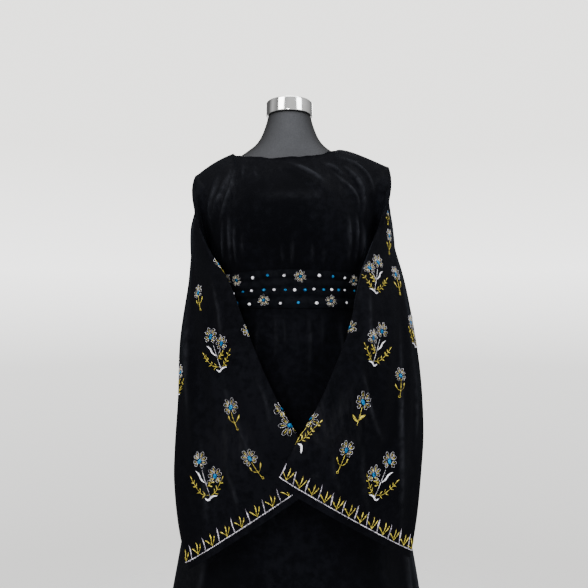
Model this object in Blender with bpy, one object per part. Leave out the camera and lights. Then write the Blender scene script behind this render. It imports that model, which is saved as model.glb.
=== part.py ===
"""Full-length black velvet abaya standing on a limbless dress form.

The garment is five walls of cloth: front, back, two wide bell sleeves that hang
empty and cross in front, and a pleated belt under the bust. Left and right are
the viewer's, seen from the front. The front faces -Y, +Z is up, and the origin is
on the floor under the middle of the hem.
"""

import math

import bpy
import numpy as np

for leftover in list(bpy.data.objects):
    bpy.data.objects.remove(leftover, do_unlink=True)


def table(columns, rows):
    """Rows of sizes, read by the name of their column."""
    return dict(zip(columns, zip(*rows)))


# Cloth and seams, in metres
CLOTH = 0.0018
SEAM_GAP = 0.0003

# Grid of one body panel: columns from side seam to side seam, rows from its top edge
# down to the belt, then rows of the skirt. The top edge is shared out from its middle:
# neckline, shoulder seam, and the armhole with what is left
PANEL_COLUMNS = 36
YOKE_ROWS = 11
SKIRT_ROWS = (1.178, 1.160, 1.142, 1.124, 1.104, 1.075, 1.035, 0.985,
              0.92, 0.84, 0.75, 0.65, 0.54, 0.42, 0.30, 0.18)
NECK_SHARE = 0.38
SHOULDER_SHARE = 0.62
# Rows crowd towards the neck from this share of the edge inwards
CROWDING_STARTS = 0.75
CROWDING = 0.5

# Shoulders and neckline, as sideways place and height
LEFT_NECK_POINT = (-0.093, 1.447)
RIGHT_NECK_POINT = (0.114, 1.449)
LEFT_SHOULDER_TIP = (-0.195, 1.398)
RIGHT_SHOULDER_TIP = (0.206, 1.416)
LEFT_UNDERARM = (-0.162, 1.226)
RIGHT_UNDERARM = (0.170, 1.230)
ARMHOLE_HALF_DEPTH = 0.058
SHOULDER_CROWN = 0.004
FRONT_NECK_Z = 1.404
FRONT_NECK_Y = 0.084
BACK_NECK_Z = 1.434
BACK_NECK_Y = 0.062

# Belt and hem
BELT_TOP_Z = 1.196
BELT_BOTTOM_Z = 1.124
BELT_SIDE_DIP = 0.012
BELT_SIDE_LIFT = 0.002
BELT_COLUMNS = 48
BELT_CLEAR = 0.0010
BELT_CLOTH = 0.0008
HEM_Z = 0.055

# Pleats of the belt: share of its height from the top edge, how far they stand out
BELT_PLEATS = table(("share", "out"), (
    (0.00, 0.0012),
    (0.10, 0.0030),
    (0.24, 0.0034),
    (0.34, 0.0020),
    (0.48, 0.0044),
    (0.62, 0.0036),
    (0.72, 0.0022),
    (0.88, 0.0036),
    (1.00, 0.0012),
))

# Girth of the cloth from the hem up: half width, depth of the front and of the back,
# and how far its middle sways to the right
GIRTH = table(("height", "width", "front", "back", "sway"), (
    (0.055, 0.325, 0.268, 0.264, 0.000),
    (0.300, 0.290, 0.226, 0.224, 0.010),
    (0.533, 0.255, 0.188, 0.186, 0.016),
    (0.750, 0.218, 0.160, 0.154, 0.014),
    (0.950, 0.184, 0.138, 0.124, 0.009),
    (1.060, 0.163, 0.127, 0.108, 0.006),
    (1.124, 0.153, 0.121, 0.100, 0.005),
    (1.160, 0.150, 0.121, 0.098, 0.005),
    (1.196, 0.153, 0.125, 0.100, 0.005),
    (1.240, 0.159, 0.135, 0.105, 0.004),
    (1.280, 0.163, 0.142, 0.112, 0.002),
    (1.320, 0.166, 0.138, 0.115, 0.000),
    (1.360, 0.166, 0.121, 0.112, 0.000),
    (1.400, 0.166, 0.094, 0.098, 0.000),
    (1.450, 0.164, 0.060, 0.070, 0.000),
))

# Flutes of the skirt, each a soft ridge: where round the body in degrees from the
# front (left is negative), height where it fades in, depth at the hem, half width
FLUTES = (
    {"at": -78, "from": 0.95, "depth": 0.017, "spread": 8},
    {"at": -53, "from": 0.72, "depth": 0.013, "spread": 7},
    {"at": -27, "from": 0.80, "depth": 0.015, "spread": 8},
    {"at": -4, "from": 0.62, "depth": 0.012, "spread": 7},
    {"at": 19, "from": 0.85, "depth": 0.014, "spread": 8},
    {"at": 43, "from": 0.90, "depth": 0.017, "spread": 8},
    {"at": 68, "from": 0.78, "depth": 0.015, "spread": 7},
    {"at": 98, "from": 0.88, "depth": 0.015, "spread": 8},
    {"at": 122, "from": 0.98, "depth": 0.019, "spread": 8},
    {"at": 147, "from": 0.82, "depth": 0.014, "spread": 8},
    {"at": 171, "from": 1.00, "depth": 0.020, "spread": 8},
    {"at": 196, "from": 0.86, "depth": 0.015, "spread": 7},
    {"at": 220, "from": 0.95, "depth": 0.018, "spread": 8},
    {"at": 247, "from": 0.76, "depth": 0.015, "spread": 8},
)
FLUTE_GROWTH = 1.3

# Gathers where the belt draws the cloth in: degrees from the front, how far they
# run above and below the belt, depth, half width
GATHERS = (
    {"at": -66, "above": 0.050, "below": 0.120, "depth": 0.0030, "spread": 4.5},
    {"at": -50, "above": 0.085, "below": 0.150, "depth": 0.0040, "spread": 4.5},
    {"at": -36, "above": 0.060, "below": 0.110, "depth": 0.0030, "spread": 4.0},
    {"at": -14, "above": 0.040, "below": 0.120, "depth": 0.0022, "spread": 4.5},
    {"at": 6, "above": 0.050, "below": 0.140, "depth": 0.0026, "spread": 4.5},
    {"at": 24, "above": 0.045, "below": 0.100, "depth": 0.0024, "spread": 4.0},
    {"at": 40, "above": 0.080, "below": 0.130, "depth": 0.0036, "spread": 4.5},
    {"at": 57, "above": 0.090, "below": 0.150, "depth": 0.0040, "spread": 4.5},
    {"at": 72, "above": 0.045, "below": 0.110, "depth": 0.0028, "spread": 4.5},
    {"at": 108, "above": 0.060, "below": 0.130, "depth": 0.0032, "spread": 5.0},
    {"at": 128, "above": 0.080, "below": 0.160, "depth": 0.0040, "spread": 5.0},
    {"at": 150, "above": 0.060, "below": 0.140, "depth": 0.0036, "spread": 5.0},
    {"at": 168, "above": 0.080, "below": 0.180, "depth": 0.0042, "spread": 5.0},
    {"at": 190, "above": 0.070, "below": 0.160, "depth": 0.0038, "spread": 5.0},
    {"at": 210, "above": 0.090, "below": 0.170, "depth": 0.0042, "spread": 5.0},
    {"at": 232, "above": 0.060, "below": 0.140, "depth": 0.0036, "spread": 5.0},
    {"at": 252, "above": 0.050, "below": 0.120, "depth": 0.0030, "spread": 5.0},
)
# A gather starts at the belt's edge over this share of its run, then dies away
GATHER_START = 0.2
GATHER_FADE = 1.2

# Drape folds of the yoke, each a soft ridge along a line on the front: ends as
# sideways place and height, height of the ridge, half width
YOKE_FOLDS = (
    {"start": (0.000, 1.396), "end": (0.078, 1.346), "rise": 0.0036, "spread": 0.011},
    {"start": (0.105, 1.425), "end": (0.158, 1.352), "rise": 0.0040, "spread": 0.012},
    {"start": (0.135, 1.415), "end": (0.150, 1.300), "rise": 0.0034, "spread": 0.010},
    {"start": (-0.090, 1.425), "end": (-0.118, 1.345), "rise": 0.0034, "spread": 0.010},
    {"start": (-0.128, 1.405), "end": (-0.150, 1.300), "rise": 0.0040, "spread": 0.012},
)
YOKE_FOLD_FIRST_ROWS = 3.0
YOKE_FOLD_SIDE_SHARE = 1 / 6

# Sleeves: points round the tube, steps along it, share of its length over which it
# leaves the armhole, and where round the armhole its inner edge starts
SLEEVE_ROUND = 28
SLEEVE_STEPS = 18
ARMHOLE_BLEND = 0.075
ARMHOLE_TURN = math.radians(123)

# Each row is a place along the sleeve: a point of the inner edge, which comes to the
# middle of the front, and a point of the outer edge
LEFT_SLEEVE = table(("along", "inner", "outer"), (
    (0.00, (-0.175, -0.073, 1.241), (-0.186, 0.038, 1.346)),
    (0.06, (-0.164, -0.073, 1.240), (-0.196, 0.041, 1.305)),
    (0.12, (-0.146, -0.090, 1.221), (-0.206, 0.026, 1.258)),
    (0.18, (-0.126, -0.112, 1.193), (-0.207, 0.005, 1.220)),
    (0.26, (-0.099, -0.146, 1.139), (-0.206, -0.020, 1.168)),
    (0.37, (-0.073, -0.163, 1.076), (-0.216, -0.056, 1.063)),
    (0.50, (-0.045, -0.174, 1.006), (-0.215, -0.086, 0.954)),
    (0.63, (-0.014, -0.182, 0.941), (-0.216, -0.112, 0.864)),
    (0.77, (0.018, -0.188, 0.894), (-0.213, -0.132, 0.795)),
    (0.88, (0.035, -0.194, 0.855), (-0.202, -0.148, 0.726)),
    (1.00, (0.042, -0.200, 0.813), (-0.182, -0.164, 0.654)),
))
RIGHT_SLEEVE = table(("along", "inner", "outer"), (
    (0.00, (0.203, -0.055, 1.252), (0.181, 0.049, 1.363)),
    (0.06, (0.173, -0.069, 1.253), (0.206, 0.052, 1.324)),
    (0.12, (0.159, -0.082, 1.220), (0.214, 0.037, 1.281)),
    (0.18, (0.145, -0.120, 1.196), (0.215, 0.015, 1.241)),
    (0.26, (0.127, -0.157, 1.148), (0.226, -0.020, 1.190)),
    (0.37, (0.109, -0.181, 1.090), (0.244, -0.056, 1.098)),
    (0.50, (0.084, -0.201, 1.025), (0.254, -0.086, 0.998)),
    (0.63, (0.055, -0.216, 0.959), (0.254, -0.114, 0.902)),
    (0.77, (0.022, -0.228, 0.912), (0.245, -0.138, 0.828)),
    (0.88, (0.000, -0.235, 0.875), (0.233, -0.158, 0.754)),
    (1.00, (-0.020, -0.240, 0.834), (0.217, -0.174, 0.681)),
))

# How a sleeve swells before and behind the line between its edges, and where its
# front layer faces: outwards and upwards for each unit forwards
SLEEVE_SHAPE = table(("along", "before", "behind", "faces_out", "faces_up"), (
    (0.00, 0.067, 0.090, 0.96, 0.61),
    (0.06, 0.057, 0.064, 0.24, 1.05),
    (0.12, 0.054, 0.048, 0.45, 0.92),
    (0.18, 0.027, 0.029, 0.36, 0.44),
    (0.26, 0.019, 0.021, 0.47, 0.14),
    (0.37, 0.020, 0.008, 0.30, 0.00),
    (0.50, 0.018, 0.008, 0.20, 0.00),
    (0.63, 0.017, 0.007, 0.10, 0.00),
    (0.77, 0.016, 0.006, 0.10, 0.00),
    (0.88, 0.016, 0.006, 0.10, 0.00),
    (1.00, 0.017, 0.007, 0.10, 0.00),
))

# Long soft ridges of the sleeves' front layer: share of the width from the inner
# edge, share of the length where it starts and ends, height, half width
SLEEVE_FOLDS = (
    {"across": 0.22, "start": 0.30, "end": 0.90, "rise": 0.0045, "spread": 0.07},
    {"across": 0.50, "start": 0.20, "end": 1.05, "rise": 0.0055, "spread": 0.08},
    {"across": 0.78, "start": 0.15, "end": 1.05, "rise": 0.0050, "spread": 0.07},
)

# Dress form under the cloth, from its flat bottom to its neck: half width, and depth
# of the front and of the back
FORM_ROUND = 28
FORM = table(("height", "width", "front", "back"), (
    (0.800, 0.1600, 0.0920, 0.0920),
    (0.803, 0.1650, 0.0970, 0.0970),
    (0.860, 0.1680, 0.1040, 0.0980),
    (0.940, 0.1600, 0.1060, 0.0930),
    (1.020, 0.1460, 0.1040, 0.0870),
    (1.090, 0.1340, 0.1000, 0.0830),
    (1.160, 0.1320, 0.1060, 0.0830),
    (1.220, 0.1380, 0.1190, 0.0880),
    (1.270, 0.1440, 0.1290, 0.0940),
    (1.310, 0.1490, 0.1210, 0.0970),
    (1.350, 0.1540, 0.1010, 0.0950),
    (1.375, 0.1550, 0.0860, 0.0860),
    (1.395, 0.1500, 0.0720, 0.0760),
    (1.410, 0.1400, 0.0620, 0.0670),
    (1.422, 0.1240, 0.0560, 0.0610),
    (1.432, 0.1060, 0.0530, 0.0580),
    (1.441, 0.0880, 0.0520, 0.0570),
    (1.449, 0.0800, 0.0510, 0.0560),
    (1.457, 0.0700, 0.0510, 0.0550),
    (1.472, 0.0600, 0.0510, 0.0530),
    (1.490, 0.0530, 0.0500, 0.0500),
    (1.510, 0.0475, 0.0470, 0.0470),
    (1.521, 0.0450, 0.0445, 0.0445),
))
FORM_TOP_Z = FORM["height"][-1]
FORM_BOTTOM_Z = FORM["height"][0]

# Neck cap and stand
CAP_SIDES = 28
CAP_RADIUS = 0.0485
CAP_HEIGHT = 0.028
CAP_ROUNDING = 0.002
CAP_CROWN = 0.003
POLE_SIDES = 20
POLE_RADIUS = 0.016
BASE_SIDES = 32
BASE_RADIUS = 0.150
BASE_EDGE = 0.010
BASE_ROUNDING = 0.003
BASE_CONE_RISE = 0.006
COLLAR_RADIUS = 0.030
COLLAR_FLARE = 0.012
COLLAR_TOP_Z = 0.032

SHARP_EDGE = math.radians(50)


def smooth(value):
    """Ease from 0 to 1 with no corner at either end."""
    held = min(max(value, 0.0), 1.0)
    return held * held * (3.0 - 2.0 * held)


def ridge(distance, spread):
    """Round hump, 1 on its line and almost 0 two spreads away."""
    return math.exp(-(distance / spread) ** 2)


def unit(vectors):
    return vectors / np.linalg.norm(vectors, axis=-1, keepdims=True)


class Curve:
    """Smooth curve through two columns of a table, held level past its ends."""

    def __init__(self, source, across, column):
        self.rows = np.array(source[across], dtype=float)
        self.values = np.array(source[column], dtype=float)
        self.slopes = np.gradient(self.values, self.rows, axis=0)

    def __call__(self, wanted):
        place = int(np.clip(np.searchsorted(self.rows, wanted) - 1, 0, len(self.rows) - 2))
        span = self.rows[place + 1] - self.rows[place]
        t = min(max((wanted - self.rows[place]) / span, 0.0), 1.0)
        leaving = (1 + 2 * t) * self.values[place] + t * span * self.slopes[place]
        arriving = (3 - 2 * t) * self.values[place + 1] - (1 - t) * span * self.slopes[place + 1]
        return (1 - t) ** 2 * leaving + t * t * arriving


GIRTH_CURVES = {column: Curve(GIRTH, "height", column) for column in ("width", "front", "back", "sway")}
FORM_CURVES = {column: Curve(FORM, "height", column) for column in ("width", "front", "back")}


def girth(column, height):
    """Half width, depth or sway of the cloth at any height."""
    return float(GIRTH_CURVES[column](height))


def round_distance(angle, middle):
    """Degrees between two directions round the body, the short way."""
    return abs((angle - middle + 180.0) % 360.0 - 180.0)


def fold_height(angle, height):
    """How far flutes and gathers push the cloth out, at a place round the body."""
    total = 0.0
    for flute in FLUTES:
        grown = max(flute["from"] - height, 0.0) / (flute["from"] - HEM_Z)
        swell = ridge(round_distance(angle, flute["at"]), flute["spread"])
        total += flute["depth"] * grown ** FLUTE_GROWTH * swell
    for gather in GATHERS:
        above = (height - BELT_TOP_Z) / gather["above"]
        below = (BELT_BOTTOM_Z - height) / gather["below"]
        away = max(above, below)
        if 0.0 < away < 1.0:
            grown = min(away / GATHER_START, 1.0) * (1.0 - away) ** GATHER_FADE
            total += gather["depth"] * grown * ridge(round_distance(angle, gather["at"]), gather["spread"])
    return total


def body_point(angle, height):
    """Outer face of the cloth, at a place round the body and a height."""
    turn = math.radians(angle)
    width = girth("width", height)
    depth = girth("front" if math.cos(turn) > 0 else "back", height)
    out = unit(np.array((math.sin(turn) * depth, -math.cos(turn) * width, 0.0)))
    place = np.array((girth("sway", height) + math.sin(turn) * width, -math.cos(turn) * depth, height))
    return place + out * fold_height(angle, height)


class Armhole:
    """Oval seam between a sleeve and the body, in a plane that leans inwards."""

    def __init__(self, tip, underarm):
        top = np.array((tip[0], 0.0, tip[1]))
        bottom = np.array((underarm[0], 0.0, underarm[1]))
        self.middle = (top + bottom) / 2
        self.half_height = np.linalg.norm(top - bottom) / 2
        self.up = unit(top - bottom)
        side = math.copysign(1.0, tip[0])
        self.out = unit(np.array((side * self.up[2], 0.0, -side * self.up[0])))

    def point(self, angle, inset=0.0):
        """Angle 0 is the shoulder tip, a quarter turn the front, half a turn the underarm."""
        rise = (self.half_height - inset) * math.cos(angle)
        forward = (ARMHOLE_HALF_DEPTH - inset) * math.sin(angle)
        return self.middle + self.up * rise + np.array((0.0, -forward, 0.0))


LEFT_ARMHOLE = Armhole(LEFT_SHOULDER_TIP, LEFT_UNDERARM)
RIGHT_ARMHOLE = Armhole(RIGHT_SHOULDER_TIP, RIGHT_UNDERARM)


def neck_point(share, facing):
    """Point of the scooped neckline; share is 0 in the middle and 1 at the shoulder seam."""
    neck = LEFT_NECK_POINT if share < 0 else RIGHT_NECK_POINT
    low_z = FRONT_NECK_Z if facing < 0 else BACK_NECK_Z
    low_y = FRONT_NECK_Y if facing < 0 else BACK_NECK_Y
    turn = abs(share) * math.pi / 2
    scoop = math.cos(turn)
    forward = facing * low_y * scoop ** 0.9
    return np.array((neck[0] * math.sin(turn), forward, neck[1] + (low_z - neck[1]) * scoop ** 1.1))


def top_edge(share, facing):
    """Top of a panel from side seam to side seam: outer point, and inner point at seams.

    share runs from -1 to 1, and facing is -1 for the front and 1 for the back.
    """
    armhole = LEFT_ARMHOLE if share < 0 else RIGHT_ARMHOLE
    neck = LEFT_NECK_POINT if share < 0 else RIGHT_NECK_POINT
    tip = LEFT_SHOULDER_TIP if share < 0 else RIGHT_SHOULDER_TIP
    reach = abs(share)
    if reach >= SHOULDER_SHARE:
        turn = math.pi * (reach - SHOULDER_SHARE) / (1.0 - SHOULDER_SHARE)
        return armhole.point(-facing * turn), armhole.point(-facing * turn, CLOTH)
    if reach >= NECK_SHARE:
        step = (reach - NECK_SHARE) / (SHOULDER_SHARE - NECK_SHARE)
        height = neck[1] + (tip[1] - neck[1]) * step + SHOULDER_CROWN * math.sin(math.pi * step)
        outer = np.array((neck[0] + (tip[0] - neck[0]) * step, 0.0, height))
        return outer, outer - np.array((0.0, 0.0, CLOTH))
    return neck_point(share / NECK_SHARE, facing), None


def grid_normals(points, closed):
    """Unit normals of a grid of points, out of the cloth."""
    if closed:
        across = np.roll(points, -1, axis=1) - np.roll(points, 1, axis=1)
    else:
        across = np.gradient(points, axis=1)
    down = np.gradient(points, axis=0)
    return unit(np.cross(down, across))


def add_finish(name, colour, roughness, metallic):
    finish = bpy.data.materials.new(name)
    finish.use_nodes = True
    shader = finish.node_tree.nodes["Principled BSDF"]
    shader.inputs["Base Color"].default_value = (*colour, 1.0)
    shader.inputs["Roughness"].default_value = roughness
    shader.inputs["Metallic"].default_value = metallic
    return finish


def add_object(name, points, faces, finish):
    """Mesh object with smooth faces, from points and rings of indices."""
    mesh = bpy.data.meshes.new(name)
    mesh.from_pydata([tuple(point) for point in points], [], faces)
    mesh.materials.append(finish)
    mesh.shade_smooth()
    mesh.set_sharp_from_angle(angle=SHARP_EDGE)
    piece = bpy.data.objects.new(name, mesh)
    bpy.context.collection.objects.link(piece)
    return piece


def add_wall(name, outer, inner, closed, finish):
    """Closed wall between two grids with the same columns, open or closed round."""
    columns = outer.shape[1]
    points = np.concatenate((outer.reshape(-1, 3), inner.reshape(-1, 3)))
    inner_start = outer.shape[0] * columns
    turns = columns if closed else columns - 1
    faces = []
    for grid, start, flip in ((outer, 0, False), (inner, inner_start, True)):
        for row in range(grid.shape[0] - 1):
            for column in range(turns):
                after = (column + 1) % columns
                upper = start + row * columns
                lower = upper + columns
                for half in ((upper + column, lower + column, lower + after),
                             (upper + column, lower + after, upper + after)):
                    faces.append(half[::-1] if flip else half)
    outer_last = (outer.shape[0] - 1) * columns
    inner_last = inner_start + (inner.shape[0] - 1) * columns
    for column in range(turns):
        after = (column + 1) % columns
        faces.append((column, after, inner_start + after, inner_start + column))
        faces.append((outer_last + after, outer_last + column, inner_last + column, inner_last + after))
    if not closed:
        edge = columns - 1
        for row in range(outer.shape[0] - 1):
            upper = row * columns
            lower = upper + columns
            faces.append((upper, inner_start + upper, inner_start + lower, lower))
            faces.append((lower + edge, inner_start + lower + edge, inner_start + upper + edge, upper + edge))
    return add_object(name, points, faces, finish)


def yoke_fold_height(place):
    """How far the drape folds of the yoke push the front out."""
    total = 0.0
    for fold in YOKE_FOLDS:
        start = np.array(fold["start"])
        along = np.array(fold["end"]) - start
        here = np.array((place[0], place[2])) - start
        share = float(np.dot(here, along) / np.dot(along, along))
        away = np.linalg.norm(here - along * min(max(share, 0.0), 1.0))
        total += fold["rise"] * ridge(away, fold["spread"])
    return total


def panel_column(share, facing):
    """Outer points of a panel from its top edge to the hem, at one share of its width."""
    angle = 90.0 * share if facing < 0 else 180.0 - 90.0 * share
    top = top_edge(share, facing)[0]
    lift = top - body_point(angle, top[2])
    toward_neck = (CROWDING_STARTS - abs(share)) / (CROWDING_STARTS - SHOULDER_SHARE)
    crowding = 1.0 + CROWDING * smooth(toward_neck)
    column = []
    for row in range(YOKE_ROWS):
        fall = (row / YOKE_ROWS) ** crowding
        height = top[2] + (BELT_TOP_Z - top[2]) * fall
        fade = np.array(((1.0 - fall) ** 3, (1.0 - math.sqrt(fall)) ** 2, 0.0))
        place = body_point(angle, height) + lift * fade
        if facing < 0 and row > 0:
            inside = smooth(row / YOKE_FOLD_FIRST_ROWS) * smooth((1.0 - abs(share)) / YOKE_FOLD_SIDE_SHARE)
            place[1] -= yoke_fold_height(place) * inside
        column.append(place)
    for height in (BELT_TOP_Z, *SKIRT_ROWS, HEM_Z):
        column.append(body_point(angle, height))
    return column


def add_panel(name, facing, finish):
    """Front (facing -1) or back (facing 1) of the garment, from the shoulders to the hem."""
    shares = np.linspace(-1.0, 1.0, PANEL_COLUMNS + 1)
    outer = np.array([panel_column(share, facing) for share in shares]).transpose(1, 0, 2)
    seam = SEAM_GAP / 2
    for edge in (0, -1):
        outer[:, edge, 1] = facing * seam
    for place, share in enumerate(shares):
        if abs(share) >= NECK_SHARE and abs(outer[0, place, 1]) < seam:
            outer[0, place, 1] = facing * seam
    normals = grid_normals(outer, closed=False) * -facing
    for edge in (0, -1):
        normals[:, edge, 1] = 0.0
    inner = outer - unit(normals) * CLOTH
    for place, share in enumerate(shares):
        seam_point = top_edge(share, facing)[1]
        if seam_point is not None:
            inner[0, place] = seam_point
    if facing < 0:
        inner[..., 1] = np.minimum(inner[..., 1], -seam)
        return add_wall(name, outer, inner, False, finish)
    inner[..., 1] = np.maximum(inner[..., 1], seam)
    return add_wall(name, outer[:, ::-1], inner[:, ::-1], False, finish)


def sleeve_fold_height(share, step):
    """How far the long folds push out a sleeve's front layer."""
    total = 0.0
    for fold in SLEEVE_FOLDS:
        span = (step - fold["start"]) / (fold["end"] - fold["start"])
        if 0.0 < span < 1.0:
            swell = math.sin(math.pi * min(span, 0.5)) * smooth((1.0 - span) * 3.0)
            total += fold["rise"] * swell * ridge(share - fold["across"], fold["spread"])
    return total


def sleeve_grid(armhole, edges):
    """Points of a sleeve from the armhole to the cuff, round from the inner edge."""
    inner_edge = Curve(edges, "along", "inner")
    outer_edge = Curve(edges, "along", "outer")
    side = math.copysign(1.0, armhole.out[0])
    grid = []
    for step in np.linspace(0.0, 1.0, SLEEVE_STEPS + 1):
        middle = (inner_edge(step) + outer_edge(step)) / 2
        across = inner_edge(step) - outer_edge(step)
        before, behind, faces_out, faces_up = (
            float(np.interp(step, SLEEVE_SHAPE["along"], SLEEVE_SHAPE[column]))
            for column in ("before", "behind", "faces_out", "faces_up"))
        forward = np.array((side * faces_out, -1.0, faces_up))
        face = unit(forward - across * np.dot(forward, across) / np.dot(across, across))
        joined = 1.0 - smooth(step / ARMHOLE_BLEND)
        ring = []
        for place in range(SLEEVE_ROUND):
            turn = 2 * math.pi * place / SLEEVE_ROUND
            swell = math.sin(turn) * (before if math.sin(turn) > 0 else behind)
            if math.sin(turn) > 0:
                swell += sleeve_fold_height((1.0 - math.cos(turn)) / 2, step)
            hang = middle + across / 2 * math.cos(turn) + face * swell
            seam = armhole.point(ARMHOLE_TURN - turn) + armhole.out * SEAM_GAP
            ring.append(seam * joined + hang * (1.0 - joined))
        grid.append(ring)
    return np.array(grid)


def add_sleeve(name, armhole, edges, finish):
    """Bell sleeve, an empty tube that is round at the armhole and flat at the cuff."""
    outer = sleeve_grid(armhole, edges)
    normals = grid_normals(outer, closed=True)
    runs_backwards = np.sum(normals * (outer - outer.mean(axis=1, keepdims=True))) < 0
    if runs_backwards:
        normals = -normals
    inner = outer - normals * CLOTH
    for place in range(SLEEVE_ROUND):
        turn = 2 * math.pi * place / SLEEVE_ROUND
        inner[0, place] = armhole.point(ARMHOLE_TURN - turn, CLOTH) + armhole.out * SEAM_GAP
    if runs_backwards:
        outer = outer[:, ::-1]
        inner = inner[:, ::-1]
    return add_wall(name, outer, inner, True, finish)


def belt_ring(share, out):
    """Ring at a share of the belt's height that follows the body, moved out."""
    ring = []
    for place in range(BELT_COLUMNS):
        angle = 360.0 * place / BELT_COLUMNS
        side = math.sin(math.radians(angle)) ** 2
        top = BELT_TOP_Z - BELT_SIDE_DIP * side
        bottom = BELT_BOTTOM_Z - BELT_SIDE_LIFT * side
        height = top + (bottom - top) * share
        beside = body_point(angle + 1.0, height) - body_point(angle - 1.0, height)
        away = unit(np.array((beside[1], -beside[0], 0.0)))
        ring.append(body_point(angle, height) + away * out)
    return ring


def add_belt(name, finish):
    """Pleated band right round the body, raised from the cloth that it draws in."""
    pleats = zip(BELT_PLEATS["share"], BELT_PLEATS["out"])
    outer = [belt_ring(share, BELT_CLEAR + BELT_CLOTH + out) for share, out in pleats]
    inner = [belt_ring(share, BELT_CLEAR) for share in (0.0, 0.5, 1.0)]
    return add_wall(name, np.array(outer), np.array(inner), True, finish)


def form_ring(height):
    """Smooth closed section of the dress form at a height."""
    width, front, back = (float(FORM_CURVES[column](height)) for column in ("width", "front", "back"))
    ring = []
    for place in range(FORM_ROUND):
        turn = 2 * math.pi * place / FORM_ROUND
        depth = front if math.cos(turn) > 0 else back
        ring.append((math.sin(turn) * width, -math.cos(turn) * depth, height))
    return ring


def add_stack(name, rings, finish):
    """Closed solid through level rings from the bottom up, with a flat face at each end."""
    count = len(rings[0])
    points = [point for ring in rings for point in ring]
    faces = [tuple(range(count))[::-1]]
    for level in range(len(rings) - 1):
        for place in range(count):
            after = (place + 1) % count
            lower = level * count
            upper = lower + count
            faces.append((lower + place, lower + after, upper + after, upper + place))
    faces.append(tuple(range((len(rings) - 1) * count, len(rings) * count)))
    return add_object(name, points, faces, finish)


def add_turned(name, profile, sides, finish):
    """Solid of revolution about the stand's axis, from (radius, height) rows."""
    turns = [2 * math.pi * side / sides for side in range(sides)]
    rings = [[(radius * math.sin(turn), -radius * math.cos(turn), height) for turn in turns]
             for radius, height in profile]
    return add_stack(name, rings, finish)


def add_neck_cap(name, finish):
    """Shallow polished cap with a rounded rim and a slight crown, on the form's neck."""
    bottom = FORM_TOP_Z + SEAM_GAP
    top = bottom + CAP_HEIGHT
    return add_turned(name, (
        (CAP_RADIUS - CAP_ROUNDING, bottom),
        (CAP_RADIUS, bottom + CAP_ROUNDING),
        (CAP_RADIUS, top - CAP_ROUNDING),
        (CAP_RADIUS - CAP_ROUNDING, top),
        (CAP_RADIUS * 0.55, top + CAP_CROWN * 0.8),
        (CAP_RADIUS * 0.15, top + CAP_CROWN),
    ), CAP_SIDES, finish)


def add_stand(finish):
    """Round pole under the form, and the round foot that it stands in."""
    add_turned("stand_pole", (
        (POLE_RADIUS, COLLAR_TOP_Z + SEAM_GAP),
        (POLE_RADIUS, FORM_BOTTOM_Z - SEAM_GAP),
    ), POLE_SIDES, finish)
    add_turned("stand_base", (
        (BASE_RADIUS - BASE_ROUNDING, 0.0),
        (BASE_RADIUS, BASE_ROUNDING),
        (BASE_RADIUS, BASE_EDGE - BASE_ROUNDING),
        (BASE_RADIUS - BASE_ROUNDING, BASE_EDGE),
        (COLLAR_RADIUS + COLLAR_FLARE, BASE_EDGE + BASE_CONE_RISE),
        (COLLAR_RADIUS, BASE_EDGE + COLLAR_FLARE),
        (COLLAR_RADIUS - BASE_ROUNDING, COLLAR_TOP_Z),
    ), BASE_SIDES, finish)


velvet = add_finish("black_velvet", (0.006, 0.006, 0.008), 0.85, 0.0)
belt_velvet = add_finish("belt_velvet", (0.007, 0.007, 0.009), 0.80, 0.0)
form_cloth = add_finish("charcoal_form_cloth", (0.035, 0.036, 0.038), 0.9, 0.0)
polished = add_finish("polished_metal", (0.80, 0.80, 0.80), 0.12, 1.0)
stand_paint = add_finish("stand_metal", (0.03, 0.03, 0.03), 0.4, 0.6)

add_panel("front_panel", -1, velvet)
add_panel("back_panel", 1, velvet)
add_sleeve("sleeve_left", LEFT_ARMHOLE, LEFT_SLEEVE, velvet)
add_sleeve("sleeve_right", RIGHT_ARMHOLE, RIGHT_SLEEVE, velvet)
add_belt("belt", belt_velvet)
add_stack("form_torso", [form_ring(height) for height in FORM["height"]], form_cloth)
add_neck_cap("form_neck_cap", polished)
add_stand(stand_paint)
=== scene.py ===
"""Looks of a black velvet abaya on its dress form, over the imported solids."""

import math

import bmesh
import bpy
import numpy as np
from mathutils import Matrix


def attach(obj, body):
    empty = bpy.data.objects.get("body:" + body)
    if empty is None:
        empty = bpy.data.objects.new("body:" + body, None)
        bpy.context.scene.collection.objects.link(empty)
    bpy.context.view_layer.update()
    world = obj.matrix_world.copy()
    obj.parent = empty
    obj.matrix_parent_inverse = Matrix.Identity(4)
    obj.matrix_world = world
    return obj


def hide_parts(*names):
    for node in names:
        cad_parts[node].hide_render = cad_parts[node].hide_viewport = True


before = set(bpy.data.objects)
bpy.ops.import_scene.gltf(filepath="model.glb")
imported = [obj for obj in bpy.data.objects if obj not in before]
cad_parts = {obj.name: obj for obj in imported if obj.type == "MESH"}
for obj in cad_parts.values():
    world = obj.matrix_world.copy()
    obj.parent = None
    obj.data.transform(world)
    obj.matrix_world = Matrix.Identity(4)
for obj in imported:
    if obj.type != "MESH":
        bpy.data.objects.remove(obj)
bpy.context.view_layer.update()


# Camera, light and floor. A level camera stands a little over a metre in front of the
# chest. Five softboxes and a pale room light the velvet, and the floor is a pale round
# sheet whose rim fades away.
CAMERA_PLACE = (0.0095, -1.15, 1.15)
CAMERA_LENS = 33.53
FLOOR_RADIUS = 1.6
FLOOR_HEIGHT = -0.0005

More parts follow.
